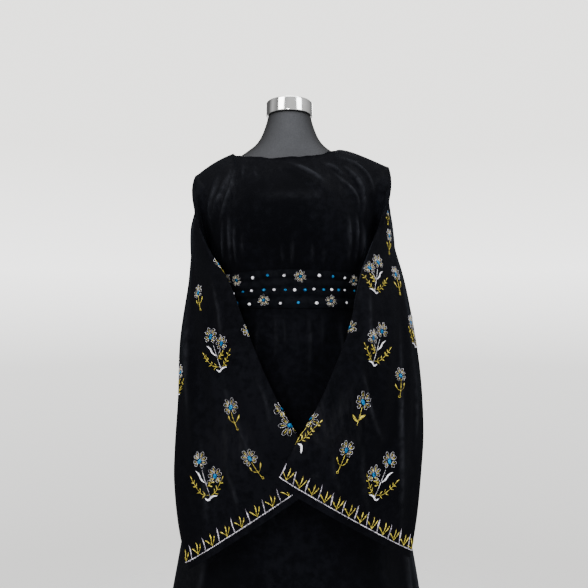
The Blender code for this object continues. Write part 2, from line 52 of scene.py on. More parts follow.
camera_data = bpy.data.cameras.new("camera")
camera_data.sensor_width = 36.0
camera_data.lens = CAMERA_LENS
camera = bpy.data.objects.new("camera", camera_data)
camera.location = CAMERA_PLACE
camera.rotation_euler = (math.radians(90.0), 0.0, 0.0)
bpy.context.collection.objects.link(camera)
bpy.context.scene.camera = camera


def add_softbox(name, place, target, width, height, power, colour):
    """Rectangular studio light that faces a point of the garment."""
    data = bpy.data.lights.new(name, "AREA")
    data.shape = "RECTANGLE"
    data.size = width
    data.size_y = height
    data.energy = power
    data.color = colour
    box = bpy.data.objects.new(name, data)
    box.location = place
    aim = np.array(target) - np.array(place)
    level = math.hypot(aim[0], aim[1])
    box.rotation_euler = (math.atan2(level, -aim[2]), 0.0, math.atan2(-aim[0], aim[1]))
    bpy.context.collection.objects.link(box)


add_softbox("light_left", (-1.7, -2.0, 2.3), (0.0, 0.0, 1.1), 1.2, 1.6, 84.0, (1.0, 0.99, 0.97))
add_softbox("light_right", (1.9, -1.7, 2.0), (0.0, 0.0, 1.1), 1.0, 1.6, 52.0, (0.97, 0.98, 1.0))
add_softbox("light_front", (-0.25, -2.6, 1.35), (0.0, 0.0, 1.15), 0.5, 0.9, 42.0, (1.0, 1.0, 1.0))
add_softbox("light_above", (0.15, -0.30, 3.0), (0.0, 0.0, 1.2), 1.4, 1.0, 48.0, (1.0, 1.0, 1.0))
add_softbox("light_behind", (0.3, 2.2, 2.4), (0.0, 0.0, 1.1), 1.4, 1.2, 36.0, (1.0, 1.0, 1.0))


def wire(tree, *links):
    """Join sockets of a node tree, each link as (from node, output, to node, input)."""
    for source, output, target, entry in links:
        tree.links.new(source.outputs[output], target.inputs[entry])


def add_node(tree, kind, sockets=None, **settings):
    """Shader node with the plain values of its inputs and its settings."""
    node = tree.nodes.new(kind if kind.startswith("Node") else "ShaderNode" + kind)
    for name, value in (sockets or {}).items():
        node.inputs[name].default_value = value
    for name, value in settings.items():
        setattr(node, name, value)
    return node


def add_noise(tree, place, scale, detail, **sockets):
    """Noise over the piece's own coordinates."""
    noise = add_node(tree, "TexNoise", {"Scale": scale, "Detail": detail, **sockets})
    wire(tree, (place, "Object", noise, "Vector"))
    return noise


def new_finish(name, sockets):
    """Material with plain values on its shader, as (material, node tree, shader)."""
    finish = bpy.data.materials.new(name)
    finish.use_nodes = True
    shader = finish.node_tree.nodes["Principled BSDF"]
    for socket, value in sockets.items():
        shader.inputs[socket].default_value = value
    return finish, finish.node_tree, shader


def add_bump(tree, shader, source, output, strength, distance):
    """Let a height tilt the shader's normal."""
    bump = add_node(tree, "Bump", {"Strength": strength, "Distance": distance})
    wire(tree, (source, output, bump, "Height"), (bump, 0, shader, "Normal"))


def set_ramp(node, *stops):
    """Give a colour ramp its stops, each as (place, colour or grey)."""
    elements = node.color_ramp.elements
    while len(elements) < len(stops):
        elements.new(0.5)
    for element, (place, colour) in zip(elements, stops):
        element.position = place
        grey = not hasattr(colour, "__len__")
        element.color = (colour, colour, colour, 1.0) if grey else (*colour, 1.0)


def light_the_room():
    """Pale wall for the eye with painted shade darker towards its bottom, and a room with dark gaps
    between its windows for metal.
    """
    world = bpy.data.worlds.new("room")
    bpy.context.scene.world = world
    world.use_nodes = True
    tree = world.node_tree
    tree.nodes.clear()
    place = add_node(tree, "TexCoord")
    parts = add_node(tree, "SeparateXYZ")
    rise = add_node(tree, "Math", {1: 0.5, 2: 0.5}, operation="MULTIPLY_ADD")
    # The wall's colour is painted light and shade: brightest a little above eye level, darker above that
    # and much darker towards the bottom.
    wall = add_node(tree, "ValToRGB")
    set_ramp(wall, (0.30, (1.30, 1.29, 1.26)), (0.44, (1.75, 1.74, 1.71)),
             (0.52, (3.10, 3.08, 3.05)), (0.62, (2.50, 2.47, 2.38)))
    turn = add_node(tree, "Math", operation="ARCTAN2")
    share = add_node(tree, "Math", {1: 0.5 / math.pi, 2: 0.5}, operation="MULTIPLY_ADD")
    windows = add_node(tree, "ValToRGB")
    set_ramp(windows, (0.00, 0.80), (0.17, 0.25), (0.25, 0.60), (0.33, 0.12), (0.44, 0.15),
             (0.485, 1.60), (0.53, 0.55), (0.58, 0.09), (0.68, 0.42), (0.80, 0.75), (0.98, 0.80))
    rays = add_node(tree, "LightPath")
    wall_light = add_node(tree, "Background", {"Strength": 1.0})
    soft_light = add_node(tree, "Background", {"Color": (0.93, 0.95, 1.0, 1.0), "Strength": 0.85})
    gloss_light = add_node(tree, "Background", {"Strength": 1.0})
    soft_or_gloss = add_node(tree, "MixShader")
    seen = add_node(tree, "MixShader")
    end = add_node(tree, "OutputWorld")
    wire(tree, (place, "Generated", parts, 0), (parts, "Z", rise, 0), (rise, 0, wall, 0),
         (wall, 0, wall_light, 0), (parts, "X", turn, 0), (parts, "Y", turn, 1),
         (turn, 0, share, 0), (share, 0, windows, 0), (windows, 0, gloss_light, 0),
         (rays, "Is Glossy Ray", soft_or_gloss, 0), (soft_light, 0, soft_or_gloss, 1),
         (gloss_light, 0, soft_or_gloss, 2), (rays, "Is Camera Ray", seen, 0),
         (soft_or_gloss, 0, seen, 1), (wall_light, 0, seen, 2), (seen, 0, end, 0))


light_the_room()


def add_disc(name, sides, radius, height):
    """Flat round face at a height, as the active object."""
    bpy.ops.object.select_all(action="DESELECT")
    bpy.ops.mesh.primitive_circle_add(vertices=sides, radius=radius, fill_type="NGON",
                                      location=(0.0, 0.0, height))
    bpy.context.object.name = name
    return bpy.context.object


def add_floor():
    """Round pale floor, plain in the middle and clear at its rim."""
    floor = add_disc("floor", 96, FLOOR_RADIUS, FLOOR_HEIGHT)
    finish, tree, shader = new_finish("pale_floor", {"Roughness": 0.8})
    place = add_node(tree, "TexCoord")
    far = add_node(tree, "VectorMath", operation="LENGTH")
    rim = add_node(tree, "MapRange", {"From Min": FLOOR_RADIUS * 0.45, "From Max": FLOOR_RADIUS * 0.98,
                                      "To Min": 1.0, "To Max": 0.0}, interpolation_type="SMOOTHSTEP")
    grain = add_noise(tree, place, 9.0, 4.0)
    tone = add_node(tree, "ValToRGB")
    set_ramp(tone, (0.35, (0.70, 0.695, 0.68)), (0.65, (0.74, 0.735, 0.72)))
    wire(tree, (place, "Object", far, 0), (far, "Value", rim, 0), (rim, 0, shader, "Alpha"),
         (grain, "Fac", tone, 0), (tone, 0, shader, "Base Color"))
    floor.data.materials.append(finish)


add_floor()


# Dress form. A limbless torso of a women's size, padded and covered in charcoal jersey
# that is stretched smooth; only its neck shows above the dress. It is drawn up ring by
# ring from its flat bottom to the rim under the neck cap.
FORM_SIDES = 48
FORM_RIM = 0.004
SOFT_ANGLE = math.radians(40.0)


def table(columns, *rows):
    """Rows of sizes under their named columns."""
    names = columns.split()
    return [dict(zip(names, row)) for row in rows]


# Rings of the form: height, half width, depth of the front and of the back
FORM_SECTIONS = table(
    "height width front back",
    (0.8000, 0.1600, 0.0920, 0.0920),
    (0.8030, 0.1650, 0.0970, 0.0970),
    (0.8600, 0.1680, 0.1040, 0.0980),
    (0.9400, 0.1600, 0.1060, 0.0930),
    (1.0200, 0.1460, 0.1040, 0.0870),
    (1.0900, 0.1340, 0.1000, 0.0830),
    (1.1600, 0.1320, 0.1060, 0.0830),
    (1.2200, 0.1380, 0.1190, 0.0880),
    (1.2700, 0.1440, 0.1290, 0.0940),
    (1.3100, 0.1490, 0.1210, 0.0970),
    (1.3500, 0.1540, 0.1010, 0.0950),
    (1.3750, 0.1550, 0.0860, 0.0860),
    (1.3950, 0.1500, 0.0720, 0.0760),
    (1.4100, 0.1400, 0.0620, 0.0670),
    (1.4220, 0.1240, 0.0560, 0.0610),
    (1.4320, 0.1120, 0.0530, 0.0580),
    (1.4410, 0.0970, 0.0520, 0.0570),
    (1.4490, 0.0865, 0.0510, 0.0560),
    (1.4570, 0.0740, 0.0510, 0.0550),
    (1.4720, 0.0615, 0.0510, 0.0530),
    (1.4900, 0.0540, 0.0500, 0.0500),
    (1.5080, 0.0477, 0.0472, 0.0472),
    (1.5170, 0.0462, 0.0458, 0.0458),
    (1.5205, 0.0445, 0.0440, 0.0440),
)


def stretch_half(mesh, side, factor):
    """Scale the front (-1) or back (1) half of the selected ring in depth."""
    edit = bmesh.from_edit_mesh(mesh)
    ring = [vertex for vertex in edit.verts if vertex.select]
    for vertex in ring:
        vertex.select_set(vertex.co.y * side > 1e-6)
    edit.select_flush_mode()
    bpy.ops.transform.resize(value=(1.0, factor, 1.0), center_override=(0.0, 0.0, 0.0))
    for vertex in ring:
        vertex.select_set(True)
    edit.select_flush_mode()


def make_form():
    """Closed body through the sections, each ring extruded up from the one below."""
    first = FORM_SECTIONS[0]
    middle = (0.0, 0.0, 0.0)
    form = add_disc("form_cover", FORM_SIDES, 1.0, 0.0)
    bpy.ops.object.mode_set(mode="EDIT")
    bpy.ops.mesh.select_all(action="SELECT")
    bpy.ops.mesh.flip_normals()
    bpy.ops.transform.translate(value=(0.0, 0.0, first["height"]))
    bpy.ops.transform.resize(value=(first["width"], first["front"], 1.0), center_override=middle)
    for lower, upper in zip(FORM_SECTIONS, FORM_SECTIONS[1:]):
        rise = upper["height"] - lower["height"]
        bpy.ops.mesh.extrude_region_move(TRANSFORM_OT_translate={"value": (0.0, 0.0, rise)})
        wider = upper["width"] / lower["width"]
        bpy.ops.transform.resize(value=(wider, 1.0, 1.0), center_override=middle)
        stretch_half(form.data, -1, upper["front"] / lower["front"])
        stretch_half(form.data, 1, upper["back"] / lower["back"])
    bpy.ops.mesh.inset(thickness=FORM_RIM)
    bpy.ops.mesh.select_all(action="SELECT")
    bpy.ops.mesh.normals_make_consistent(inside=False)
    bpy.ops.object.mode_set(mode="OBJECT")
    rounding = form.modifiers.new("rounding", "SUBSURF")
    rounding.levels = rounding.render_levels = 1
    bpy.ops.object.modifier_apply(modifier="rounding")
    bpy.ops.object.shade_smooth_by_angle(angle=SOFT_ANGLE)
    return form


def jersey_finish():
    """Fine knit of charcoal yarn, matt, a little lighter where the threads stand up, with painted shade
    that darkens it where it turns away from the eye.
    """
    finish, tree, shader = new_finish(
        "charcoal_jersey", {"Sheen Weight": 0.02, "Sheen Roughness": 0.5, "Specular IOR Level": 0.12})
    place = add_node(tree, "TexCoord")
    rows, columns = (add_node(tree, "TexWave", {"Scale": scale, "Distortion": 0.6, "Detail": 1.0},
                              bands_direction=way, wave_profile="SIN")
                     for way, scale in (("Z", 210.0), ("X", 170.0)))
    stitches = add_node(tree, "Math", operation="MULTIPLY")
    heather = add_noise(tree, place, 420.0, 3.0)
    cloudy = add_noise(tree, place, 14.0, 4.0)
    half = add_node(tree, "Math", {1: 0.45}, operation="MULTIPLY")
    shade = add_node(tree, "Math", {1: 0.55}, operation="MULTIPLY_ADD")
    tone = add_node(tree, "ValToRGB")
    set_ramp(tone, (0.30, (0.025, 0.0255, 0.028)), (0.55, (0.035, 0.036, 0.039)),
             (0.85, (0.050, 0.051, 0.055)))
    # Painted shade: the knit is darkened where its surface turns away from the eye, as if the light fell
    # off round the sides of the neck.
    turned = add_node(tree, "LayerWeight", {"Blend": 0.5})
    away = add_node(tree, "MapRange", {"From Min": 0.05, "From Max": 0.70, "To Min": 1.05, "To Max": 0.16})
    edge_shaded_tone = add_node(tree, "VectorMath", operation="SCALE")
    rough = add_node(tree, "MapRange", {"To Min": 0.78, "To Max": 0.95})
    wire(tree, (place, "Object", rows, "Vector"), (place, "Object", columns, "Vector"),
         (rows, "Fac", stitches, 0), (columns, "Fac", stitches, 1),
         (heather, "Fac", shade, 0), (cloudy, "Fac", half, 0), (half, 0, shade, 2),
         (shade, 0, tone, 0), (tone, 0, edge_shaded_tone, 0), (turned, "Facing", away, "Value"),
         (away, 0, edge_shaded_tone, "Scale"), (edge_shaded_tone, 0, shader, "Base Color"),
         (heather, "Fac", rough, "Value"), (rough, 0, shader, "Roughness"))
    add_bump(tree, shader, stitches, 0, 0.35, 0.0004)
    return finish


form_cover = make_form()
form_cover.data.materials.append(jersey_finish())
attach(form_cover, "root")
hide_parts("form_torso")


# Neck cap. A short turned cap of polished, plated metal that closes the form's neck, with
# a rolled lower rim, a rounded shoulder and a slightly domed top.
CAP_RADIUS = 0.0485
CAP_BOTTOM_Z = 1.5213
CAP_SIDE_TOP_Z = 1.5493
CAP_CROWN = 0.003
CAP_ROUNDING = 0.002
CAP_STEPS = ((0.014, 0.55), (0.014, 0.30), (0.012, 0.13), (0.006, 0.02))


def make_cap():
    """Disc extruded up to the shoulder, its edges bevelled and its top drawn into a dome."""
    cap = add_disc("neck_cap", 96, CAP_RADIUS, CAP_BOTTOM_Z)
    bpy.ops.object.transform_apply(location=True, rotation=True, scale=True)
    bpy.ops.object.mode_set(mode="EDIT")
    bpy.ops.mesh.select_all(action="SELECT")
    bpy.ops.mesh.extrude_region_move(
        TRANSFORM_OT_translate={"value": (0.0, 0.0, CAP_SIDE_TOP_Z - CAP_BOTTOM_Z)})
    for inset, rise in CAP_STEPS:
        bpy.ops.mesh.inset(thickness=inset)
        bpy.ops.transform.translate(value=(0.0, 0.0, CAP_CROWN * rise))
    bpy.ops.mesh.select_all(action="SELECT")
    bpy.ops.mesh.normals_make_consistent(inside=False)
    bpy.ops.object.mode_set(mode="OBJECT")
    edges = cap.modifiers.new("edges", "BEVEL")
    edges.width = CAP_ROUNDING
    edges.segments = 5
    edges.limit_method = "ANGLE"
    edges.angle_limit = math.radians(50.0)
    bpy.ops.object.modifier_apply(modifier="edges")
    bpy.ops.object.shade_smooth_by_angle(angle=SOFT_ANGLE)
    return cap


def polished_finish():
    """Bright plating with faint turning marks round it and a few duller smears."""
    finish, tree, shader = new_finish("polished_plate", {"Metallic": 1.0})
    place = add_node(tree, "TexCoord")
    marks = add_node(tree, "TexWave", {"Scale": 900.0, "Distortion": 0.4, "Detail": 2.0},
                     bands_direction="Z", wave_profile="SAW")
    smears = add_noise(tree, place, 55.0, 5.0)
    tone = add_node(tree, "ValToRGB")
    set_ramp(tone, (0.35, (0.78, 0.78, 0.77)), (0.65, (0.86, 0.86, 0.85)))
    rough = add_node(tree, "MapRange", {"From Min": 0.35, "From Max": 0.7, "To Min": 0.05, "To Max": 0.12})
    wire(tree, (place, "Object", marks, "Vector"),
         (smears, "Fac", tone, 0), (tone, 0, shader, "Base Color"),
         (smears, "Fac", rough, "Value"), (rough, 0, shader, "Roughness"))
    add_bump(tree, shader, marks, "Fac", 0.04, 0.0002)
    return finish


neck_cap = make_cap()
neck_cap.data.materials.append(polished_finish())
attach(neck_cap, "root")
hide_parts("form_neck_cap")


# Stand. A steel tube under the form and a heavy round foot with a turned collar, both
# painted satin black, with a little dust on the paint here and there.
def painted_finish():
    """Satin black paint, a little rough like orange peel, with some dust on it."""
    finish, tree, shader = new_finish("satin_black_paint", {"Coat Weight": 0.15, "Coat Roughness": 0.3})
    place = add_node(tree, "TexCoord")
    peel = add_noise(tree, place, 260.0, 2.0)
    dust = add_noise(tree, place, 22.0, 6.0)
    tone = add_node(tree, "ValToRGB")
    set_ramp(tone, (0.40, (0.018, 0.018, 0.019)), (0.62, (0.030, 0.030, 0.031)),
             (0.80, (0.075, 0.073, 0.070)))
    rough = add_node(tree, "MapRange", {"To Min": 0.28, "To Max": 0.62})
    wire(tree, (dust, "Fac", tone, 0), (tone, 0, shader, "Base Color"),
         (dust, "Fac", rough, "Value"), (rough, 0, shader, "Roughness"))
    add_bump(tree, shader, peel, "Fac", 0.12, 0.0003)
    return finish


stand_paint = painted_finish()
for node_name in ("stand_pole", "stand_base"):
    for material_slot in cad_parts[node_name].material_slots:
        material_slot.material = stand_paint


# Front of the dress. Black cotton-backed velvet, cut in one from shoulder to hem with a
# scooped neckline that is turned in by hand. It hangs from the shoulders over the bust,
# is drawn in by the belt and falls in flutes to the floor.
VELVET = 0.0016
SEAM = 0.00015
RIM_ANGLE = math.radians(55.0)
PANEL_COLUMNS = 145
YOKE_ROWS = 78

# Top edge by share of half the width: the neckline ends at NECK_SHARE and the shoulder at
# SHOULDER_SHARE, and the armhole takes up the rest; -1 is the left side and 1 the right
NECK_SHARE = 0.38
SHOULDER_SHARE = 0.62
NECK_POINTS = {-1: (-0.1170, 1.4445), 1: (0.1000, 1.4515)}
SHOULDER_TIPS = {-1: (-0.195, 1.398), 1: (0.206, 1.416)}
UNDERARMS = {-1: (-0.162, 1.226), 1: (0.170, 1.230)}
ARMHOLE_HALF_DEPTH = 0.058
SHOULDER_CROWN = {-1: {"rise": 0.0045, "shift": 1.0}, 1: {"rise": 0.0060, "shift": 0.6}}
NECK_BEND = {-1: 0.95, 1: 1.20}
NECK_TILT = 0.030
NECK_ROUND = 0.9

# Lowest point of the neckline, in front and behind
NECK_LOW = {-1: {"height": 1.4165, "forward": 0.084}, 1: {"height": 1.434, "forward": 0.062}}

# Rolled and slightly bunched edge of the neckline
NECK_FADE = 0.16
NECK_ROLL = 0.0011
NECK_ROLL_ROW = 3.0
NECK_ROLL_ROWS = 2.2
NECK_UNEVEN = 0.0007
NECK_BUNCH_ROWS = 9.0
NECK_BUNCH_LIFT = 0.7

# Painted highlights on the crests of creases: the rise and half width that count in full, and a crest's
# own breadth
CREST_FULL = 0.0055
CREST_NARROW = 0.0070
CREST_SHARE = 0.30
CREST_LEAST = 0.0012

# Belt line and hem, and how soon folds and creases set in away from the edges
BELT_TOP_Z = 1.196
BELT_BOTTOM_Z = 1.124
HEM_Z = 0.055
BELT_EASE = 0.006
SIDE_EASE = 8.0
FOLD_TOP_EASE = 11.0 / 3.0
FOLD_SIDE_EASE = 6.0
CALM_ROWS = 14.0
CROWDING = 0.5
CROWDED_SHARE = 0.75


def rows_between(*spans):
    """Heights of rows of points, each span as (from, to, number of rows)."""
    return np.concatenate([np.linspace(*span) for span in spans])


SKIRT_ROWS = rows_between((BELT_TOP_Z, 1.110, 24), (1.105, 0.700, 76), (0.692, HEM_Z, 74))

# Girth from the hem up: half width, depth of the front and of the back, sway to the right
GIRTH = table(
    "height width front back sway",
    (0.055, 0.325, 0.268, 0.264, 0.000),
    (0.300, 0.290, 0.226, 0.224, 0.010),
    (0.533, 0.255, 0.188, 0.186, 0.016),
    (0.750, 0.218, 0.160, 0.154, 0.014),
    (0.950, 0.184, 0.138, 0.124, 0.009),
    (1.060, 0.163, 0.127, 0.108, 0.006),
    (1.124, 0.153, 0.121, 0.100, 0.005),
    (1.160, 0.150, 0.121, 0.098, 0.005),
    (1.196, 0.153, 0.125, 0.100, 0.005),
    (1.240, 0.165, 0.135, 0.105, 0.004),
    (1.280, 0.166, 0.142, 0.112, 0.002),
    (1.320, 0.166, 0.138, 0.115, 0.000),
    (1.360, 0.166, 0.121, 0.112, 0.000),
    (1.400, 0.166, 0.094, 0.098, 0.000),
    (1.450, 0.164, 0.060, 0.070, 0.000),
)

# Flutes of the skirt: degrees round from the front, height where each fades in, depth at
# the hem, half width in degrees
FLUTES = table(
    "at from depth spread",
    (-78, 0.95, 0.017, 8),
    (-53, 0.72, 0.013, 7),
    (-27, 0.80, 0.015, 8),
    (-4, 0.62, 0.012, 7),
    (19, 0.85, 0.014, 8),
    (43, 0.90, 0.017, 8),
    (68, 0.78, 0.015, 7),
    (98, 0.88, 0.015, 8),
    (122, 0.98, 0.019, 8),
    (147, 0.82, 0.014, 8),
    (171, 1.00, 0.020, 8),
    (196, 0.86, 0.015, 7),
    (220, 0.95, 0.018, 8),
    (247, 0.76, 0.015, 8),
)
FLUTE_GROWTH = 1.3

# Gathers at the belt: degrees round, how far they run above and below it, depth, spread
GATHERS = table(
    "at above below depth spread",
    (-66, 0.050, 0.12, 0.0030, 4.5),
    (-50, 0.085, 0.15, 0.0040, 4.5),
    (-36, 0.060, 0.11, 0.0030, 4.0),
    (-14, 0.040, 0.12, 0.0022, 4.5),
    (6, 0.050, 0.14, 0.0026, 4.5),
    (24, 0.045, 0.10, 0.0024, 4.0),
    (40, 0.080, 0.13, 0.0036, 4.5),
    (57, 0.090, 0.15, 0.0040, 4.5),
    (72, 0.045, 0.11, 0.0028, 4.5),
    (108, 0.060, 0.13, 0.0032, 5.0),
    (128, 0.080, 0.16, 0.0040, 5.0),
    (150, 0.060, 0.14, 0.0036, 5.0),
    (168, 0.080, 0.18, 0.0042, 5.0),
    (190, 0.070, 0.16, 0.0038, 5.0),
    (210, 0.090, 0.17, 0.0042, 5.0),
    (232, 0.060, 0.14, 0.0036, 5.0),
    (252, 0.050, 0.12, 0.0030, 5.0),
)
GATHER_START = 0.2
GATHER_FADE = 1.2


def creases(*rows):
    """Creases in millimetres: rise, half width, then the line as (sideways, height) points."""
    return [{"rise": row[0] / 1000, "spread": row[1] / 1000, "line": np.array(row[2:]) / 1000}
            for row in rows]


FRONT_FOLDS = creases(
    (3.6, 11, (0, 1396), (78, 1346)),
    (4, 12, (105, 1425), (158, 1352)),
    (3.4, 10, (135, 1415), (150, 1300)),
    (3.4, 10, (-90, 1425), (-118, 1345)),
    (4, 12, (-128, 1405), (-150, 1300)),
)
FRONT_CREASES = creases(
    (5.7, 3.8, (-4, 1406.5), (40, 1382), (86, 1350)),
    (4.9, 5.5, (90, 1429), (130, 1413), (160, 1385), (172, 1340)),
    (6.2, 6, (98, 1413), (121, 1393), (140, 1364), (147, 1329), (141, 1285)),
    (4.9, 5.5, (75, 1394.5), (112, 1364), (132, 1339), (137, 1300)),
    (4.1, 4.5, (60, 1410), (90, 1396), (118, 1378)),
    (6.5, 6, (-115, 1420), (-118, 1380), (-128, 1349), (-144, 1325), (-155, 1288)),
    (5.4, 5.5, (-107, 1411), (-111, 1363), (-124, 1324), (-138, 1280)),
    (4.6, 5, (-139, 1395), (-146, 1360), (-155, 1320), (-154, 1260)),
    (3.2, 4, (-90, 1409), (-89, 1364)),
    (2.4, 4, (-66, 1402), (-64, 1370)),
    (1.2, 4, (-20, 1400), (-17, 1380)),
    (1.4, 4, (20, 1401), (23, 1383)),
    (5.4, 4.2, (-130, 1300), (-128, 1255), (-131, 1202)),
    (5.9, 4, (-116, 1308), (-113, 1260), (-114, 1202)),
    (4.6, 3.8, (-103, 1298), (-104, 1250), (-101, 1202)),
    (2.2, 4.2, (-88, 1280), (-89, 1240), (-87, 1202)),
    (5.1, 4, (114, 1308), (115, 1260), (113, 1202)),
    (6.2, 4.2, (130, 1316), (131, 1265), (128, 1202)),
    (5.1, 4.2, (143, 1300), (144, 1250), (141, 1202)),
    (1.6, 5, (-13, 1248), (-11, 1201)),
    (2, 5, (7, 1256), (5, 1201)),
    (1.9, 5.5, (43, 1250), (45, 1201)),
    (1.4, 5, (66, 1240), (64, 1201)),
    (3, 16, (-72, 1338), (10, 1331), (100, 1340)),
    (1.8, 5.5, (-28, 1118), (-24, 1070), (-27, 1020)),
    (1.4, 5, (-6, 1118), (-9, 1080), (-6, 1040)),
    (2, 6, (36, 1118), (40, 1060), (36, 990)),
    (1.5, 5, (62, 1118), (64, 1080), (61, 1030)),
    (2.6, 9, (-58, 1118), (-62, 1050), (-70, 960)),
    (3, 10, (95, 1118), (104, 1040), (118, 950)),
    (7, 14, (160, 740), (196, 460), (222, 120)),
    (6, 12, (205, 820), (232, 560), (262, 240)),
    (6, 13, (-140, 780), (-176, 500), (-196, 180)),
    (5, 14, (-30, 700), (-48, 420), (-60, 70)),
    (5.5, 15, (60, 620), (85, 360), (100, 70)),
)


def waves(place, *rows):
    """Uneven line, a sum of waves, each as (size, how often, start)."""
    return sum(size * np.sin(often * place + start) for size, often, start in rows)


def smooth(value):
    """Ease from 0 to 1 with no corner at either end."""
    held = np.clip(value, 0.0, 1.0)
    return held * held * (3.0 - 2.0 * held)


def unit(vectors):
    """Vectors brought to length 1."""
    return vectors / np.maximum(np.linalg.norm(vectors, axis=-1, keepdims=True), 1e-12)


class Curve:
    """Smooth curve through sizes given at some places, held level past its ends."""

    def __init__(self, places, values):
        self.places = np.array(places, dtype=float)
        self.values = np.array(values, dtype=float)
        self.slopes = np.gradient(self.values, self.places, axis=0)

    def __call__(self, wanted):
        wanted = np.asarray(wanted, dtype=float)
        row = np.clip(np.searchsorted(self.places, wanted) - 1, 0, len(self.places) - 2)
        span = self.places[row + 1] - self.places[row]
        t = np.clip((wanted - self.places[row]) / span, 0.0, 1.0)
        if self.values.ndim > 1:
            span, t = span[..., None], t[..., None]
        leaving = (1 + 2 * t) * self.values[row] + t * span * self.slopes[row]
        arriving = (3 - 2 * t) * self.values[row + 1] - (1 - t) * span * self.slopes[row + 1]
        return (1 - t) ** 2 * leaving + t * t * arriving


GIRTH_CURVES = {column: Curve([row["height"] for row in GIRTH], [row[column] for row in GIRTH])
                for column in ("width", "front", "back", "sway")}


def fold_height(angle, height):
    """How far flutes and gathers push the cloth out, round the body and up it."""
    total = np.zeros(np.broadcast(angle, height).shape)

    def swell(row):
        away = np.abs((angle - row["at"] + 180.0) % 360.0 - 180.0)
        return np.exp(-(away / row["spread"]) ** 2)

    for flute in FLUTES:
        grown = np.maximum(flute["from"] - height, 0.0) / (flute["from"] - HEM_Z)
        total = total + flute["depth"] * grown ** FLUTE_GROWTH * swell(flute)
    for gather in GATHERS:
        away = np.maximum((height - BELT_TOP_Z) / gather["above"],
                          (BELT_BOTTOM_Z - height) / gather["below"])
        inside = (away > 0.0) & (away < 1.0)
        held = np.clip(away, 0.0, 1.0)
        grown = np.minimum(held / GATHER_START, 1.0) * (1.0 - held) ** GATHER_FADE
        total = total + np.where(inside, gather["depth"] * grown, 0.0) * swell(gather)
    return total


def body_points(angle, height):
    """Outer face of the cloth on the body, at degrees round from the front and heights."""
    angle, height = np.broadcast_arrays(np.asarray(angle, dtype=float), height)
    turn = np.radians(angle)
    width = GIRTH_CURVES["width"](height)
    depth = np.where(np.cos(turn) > 0, GIRTH_CURVES["front"](height), GIRTH_CURVES["back"](height))
    flat = np.zeros_like(width)
    out = unit(np.stack((np.sin(turn) * depth, -np.cos(turn) * width, flat), axis=-1))
    sway = GIRTH_CURVES["sway"](height)
    place = np.stack((sway + np.sin(turn) * width, -np.cos(turn) * depth, height), axis=-1)
    return place + out * fold_height(angle, height)[..., None]


class Armhole:
    """Oval seam between sleeve and body, in a plane that leans inwards."""

    def __init__(self, side):
        top = np.array((SHOULDER_TIPS[side][0], 0.0, SHOULDER_TIPS[side][1]))
        bottom = np.array((UNDERARMS[side][0], 0.0, UNDERARMS[side][1]))
        self.middle = (top + bottom) / 2
        self.half_height = np.linalg.norm(top - bottom) / 2
        self.up = unit(top - bottom)
        self.out = unit(np.array((side * self.up[2], 0.0, -side * self.up[0])))

    def points(self, angle, inset=0.0):
        """Turn 0 is the shoulder tip, a quarter turn the front, half a turn the underarm."""
        rise = (self.half_height - inset) * np.cos(angle)
        forward = (ARMHOLE_HALF_DEPTH - inset) * np.sin(angle)
        ahead = np.array((0.0, -1.0, 0.0))
        return self.middle + self.up * rise[..., None] + ahead * forward[..., None]


ARMHOLES = {side: Armhole(side) for side in (-1, 1)}


def top_edge(share, facing, inset=0.0):
    """Point of a panel's top edge: neckline, shoulder seam, then armhole; share is -1 to 1."""
    side = -1 if share < 0 else 1
    reach = abs(share)
    neck, tip = NECK_POINTS[side], SHOULDER_TIPS[side]
    if reach >= SHOULDER_SHARE:
        turn = math.pi * (reach - SHOULDER_SHARE) / (1.0 - SHOULDER_SHARE)
        return ARMHOLES[side].points(np.array(-facing * turn), inset)
    if reach >= NECK_SHARE:
        step = (reach - NECK_SHARE) / (SHOULDER_SHARE - NECK_SHARE)
        crown = SHOULDER_CROWN[side]
        raised = crown["rise"] * math.sin(math.pi * step ** crown["shift"])
        height = neck[1] + (tip[1] - neck[1]) * step + raised
        return np.array((neck[0] + (tip[0] - neck[0]) * step, 0.0, height - inset))
    turn = reach / NECK_SHARE * math.pi / 2
    scoop = math.cos(turn)
    low = NECK_LOW[facing]
    height = neck[1] + (low["height"] - neck[1]) * scoop ** NECK_BEND[side]
    height += NECK_TILT * neck[0] * math.sin(turn) * scoop
    return np.array((neck[0] * math.sin(turn), facing * low["forward"] * scoop ** NECK_ROUND, height))


def grid_normals(points, closed):
    """Normals of a grid of points, from its steps down and across."""
    if closed:
        across = np.roll(points, -1, axis=1) - np.roll(points, 1, axis=1)
    else:
        across = np.gradient(points, axis=1)
    return unit(np.cross(np.gradient(points, axis=0), across))


def lie_along(place, line, ends):
    """Distance of places from a smooth line seen from the front, their side of it, and a fade
    towards the line's ends."""
    knots = np.array(line, dtype=float)
    steps = np.linspace(0.0, 1.0, 4 * len(knots) - 3)
    bends = Curve(np.linspace(0.0, 1.0, len(knots)), knots)(steps) if len(knots) > 2 else knots
    nearest = np.full(place.shape[:-1], np.inf)
    side = np.zeros_like(nearest)
    share = np.zeros_like(nearest)
    here = place[..., (0, 2)]
    for number, (start, stop) in enumerate(zip(bends[:-1], bends[1:])):
        along = stop - start
        offset = here - start
        part = np.clip(offset @ along / (along @ along), 0.0, 1.0)
        away = np.linalg.norm(offset - part[..., None] * along, axis=-1)
        closer = away < nearest
        nearest = np.where(closer, away, nearest)
        side = np.where(closer, np.sign(offset[..., 0] * along[1] - offset[..., 1] * along[0]), side)
        share = np.where(closer, (number + part) / (len(bends) - 1), share)
    fade = smooth(share / ends) * smooth((1.0 - share) / ends) if ends else 1.0
    return nearest, side, fade


def crease_height(place, creases, skew=0.35, ends=0.45):
    """How far soft creases push the cloth out; each is steeper on one side than the other."""
    total = np.zeros(place.shape[:-1])
    for number, crease in enumerate(creases):
        away, side, fade = lie_along(place, crease["line"], ends)
        lean = skew if number % 2 else -skew
        total += crease["rise"] * fade * np.exp(-(away / (crease["spread"] * (1.0 + lean * side))) ** 2)
    return total


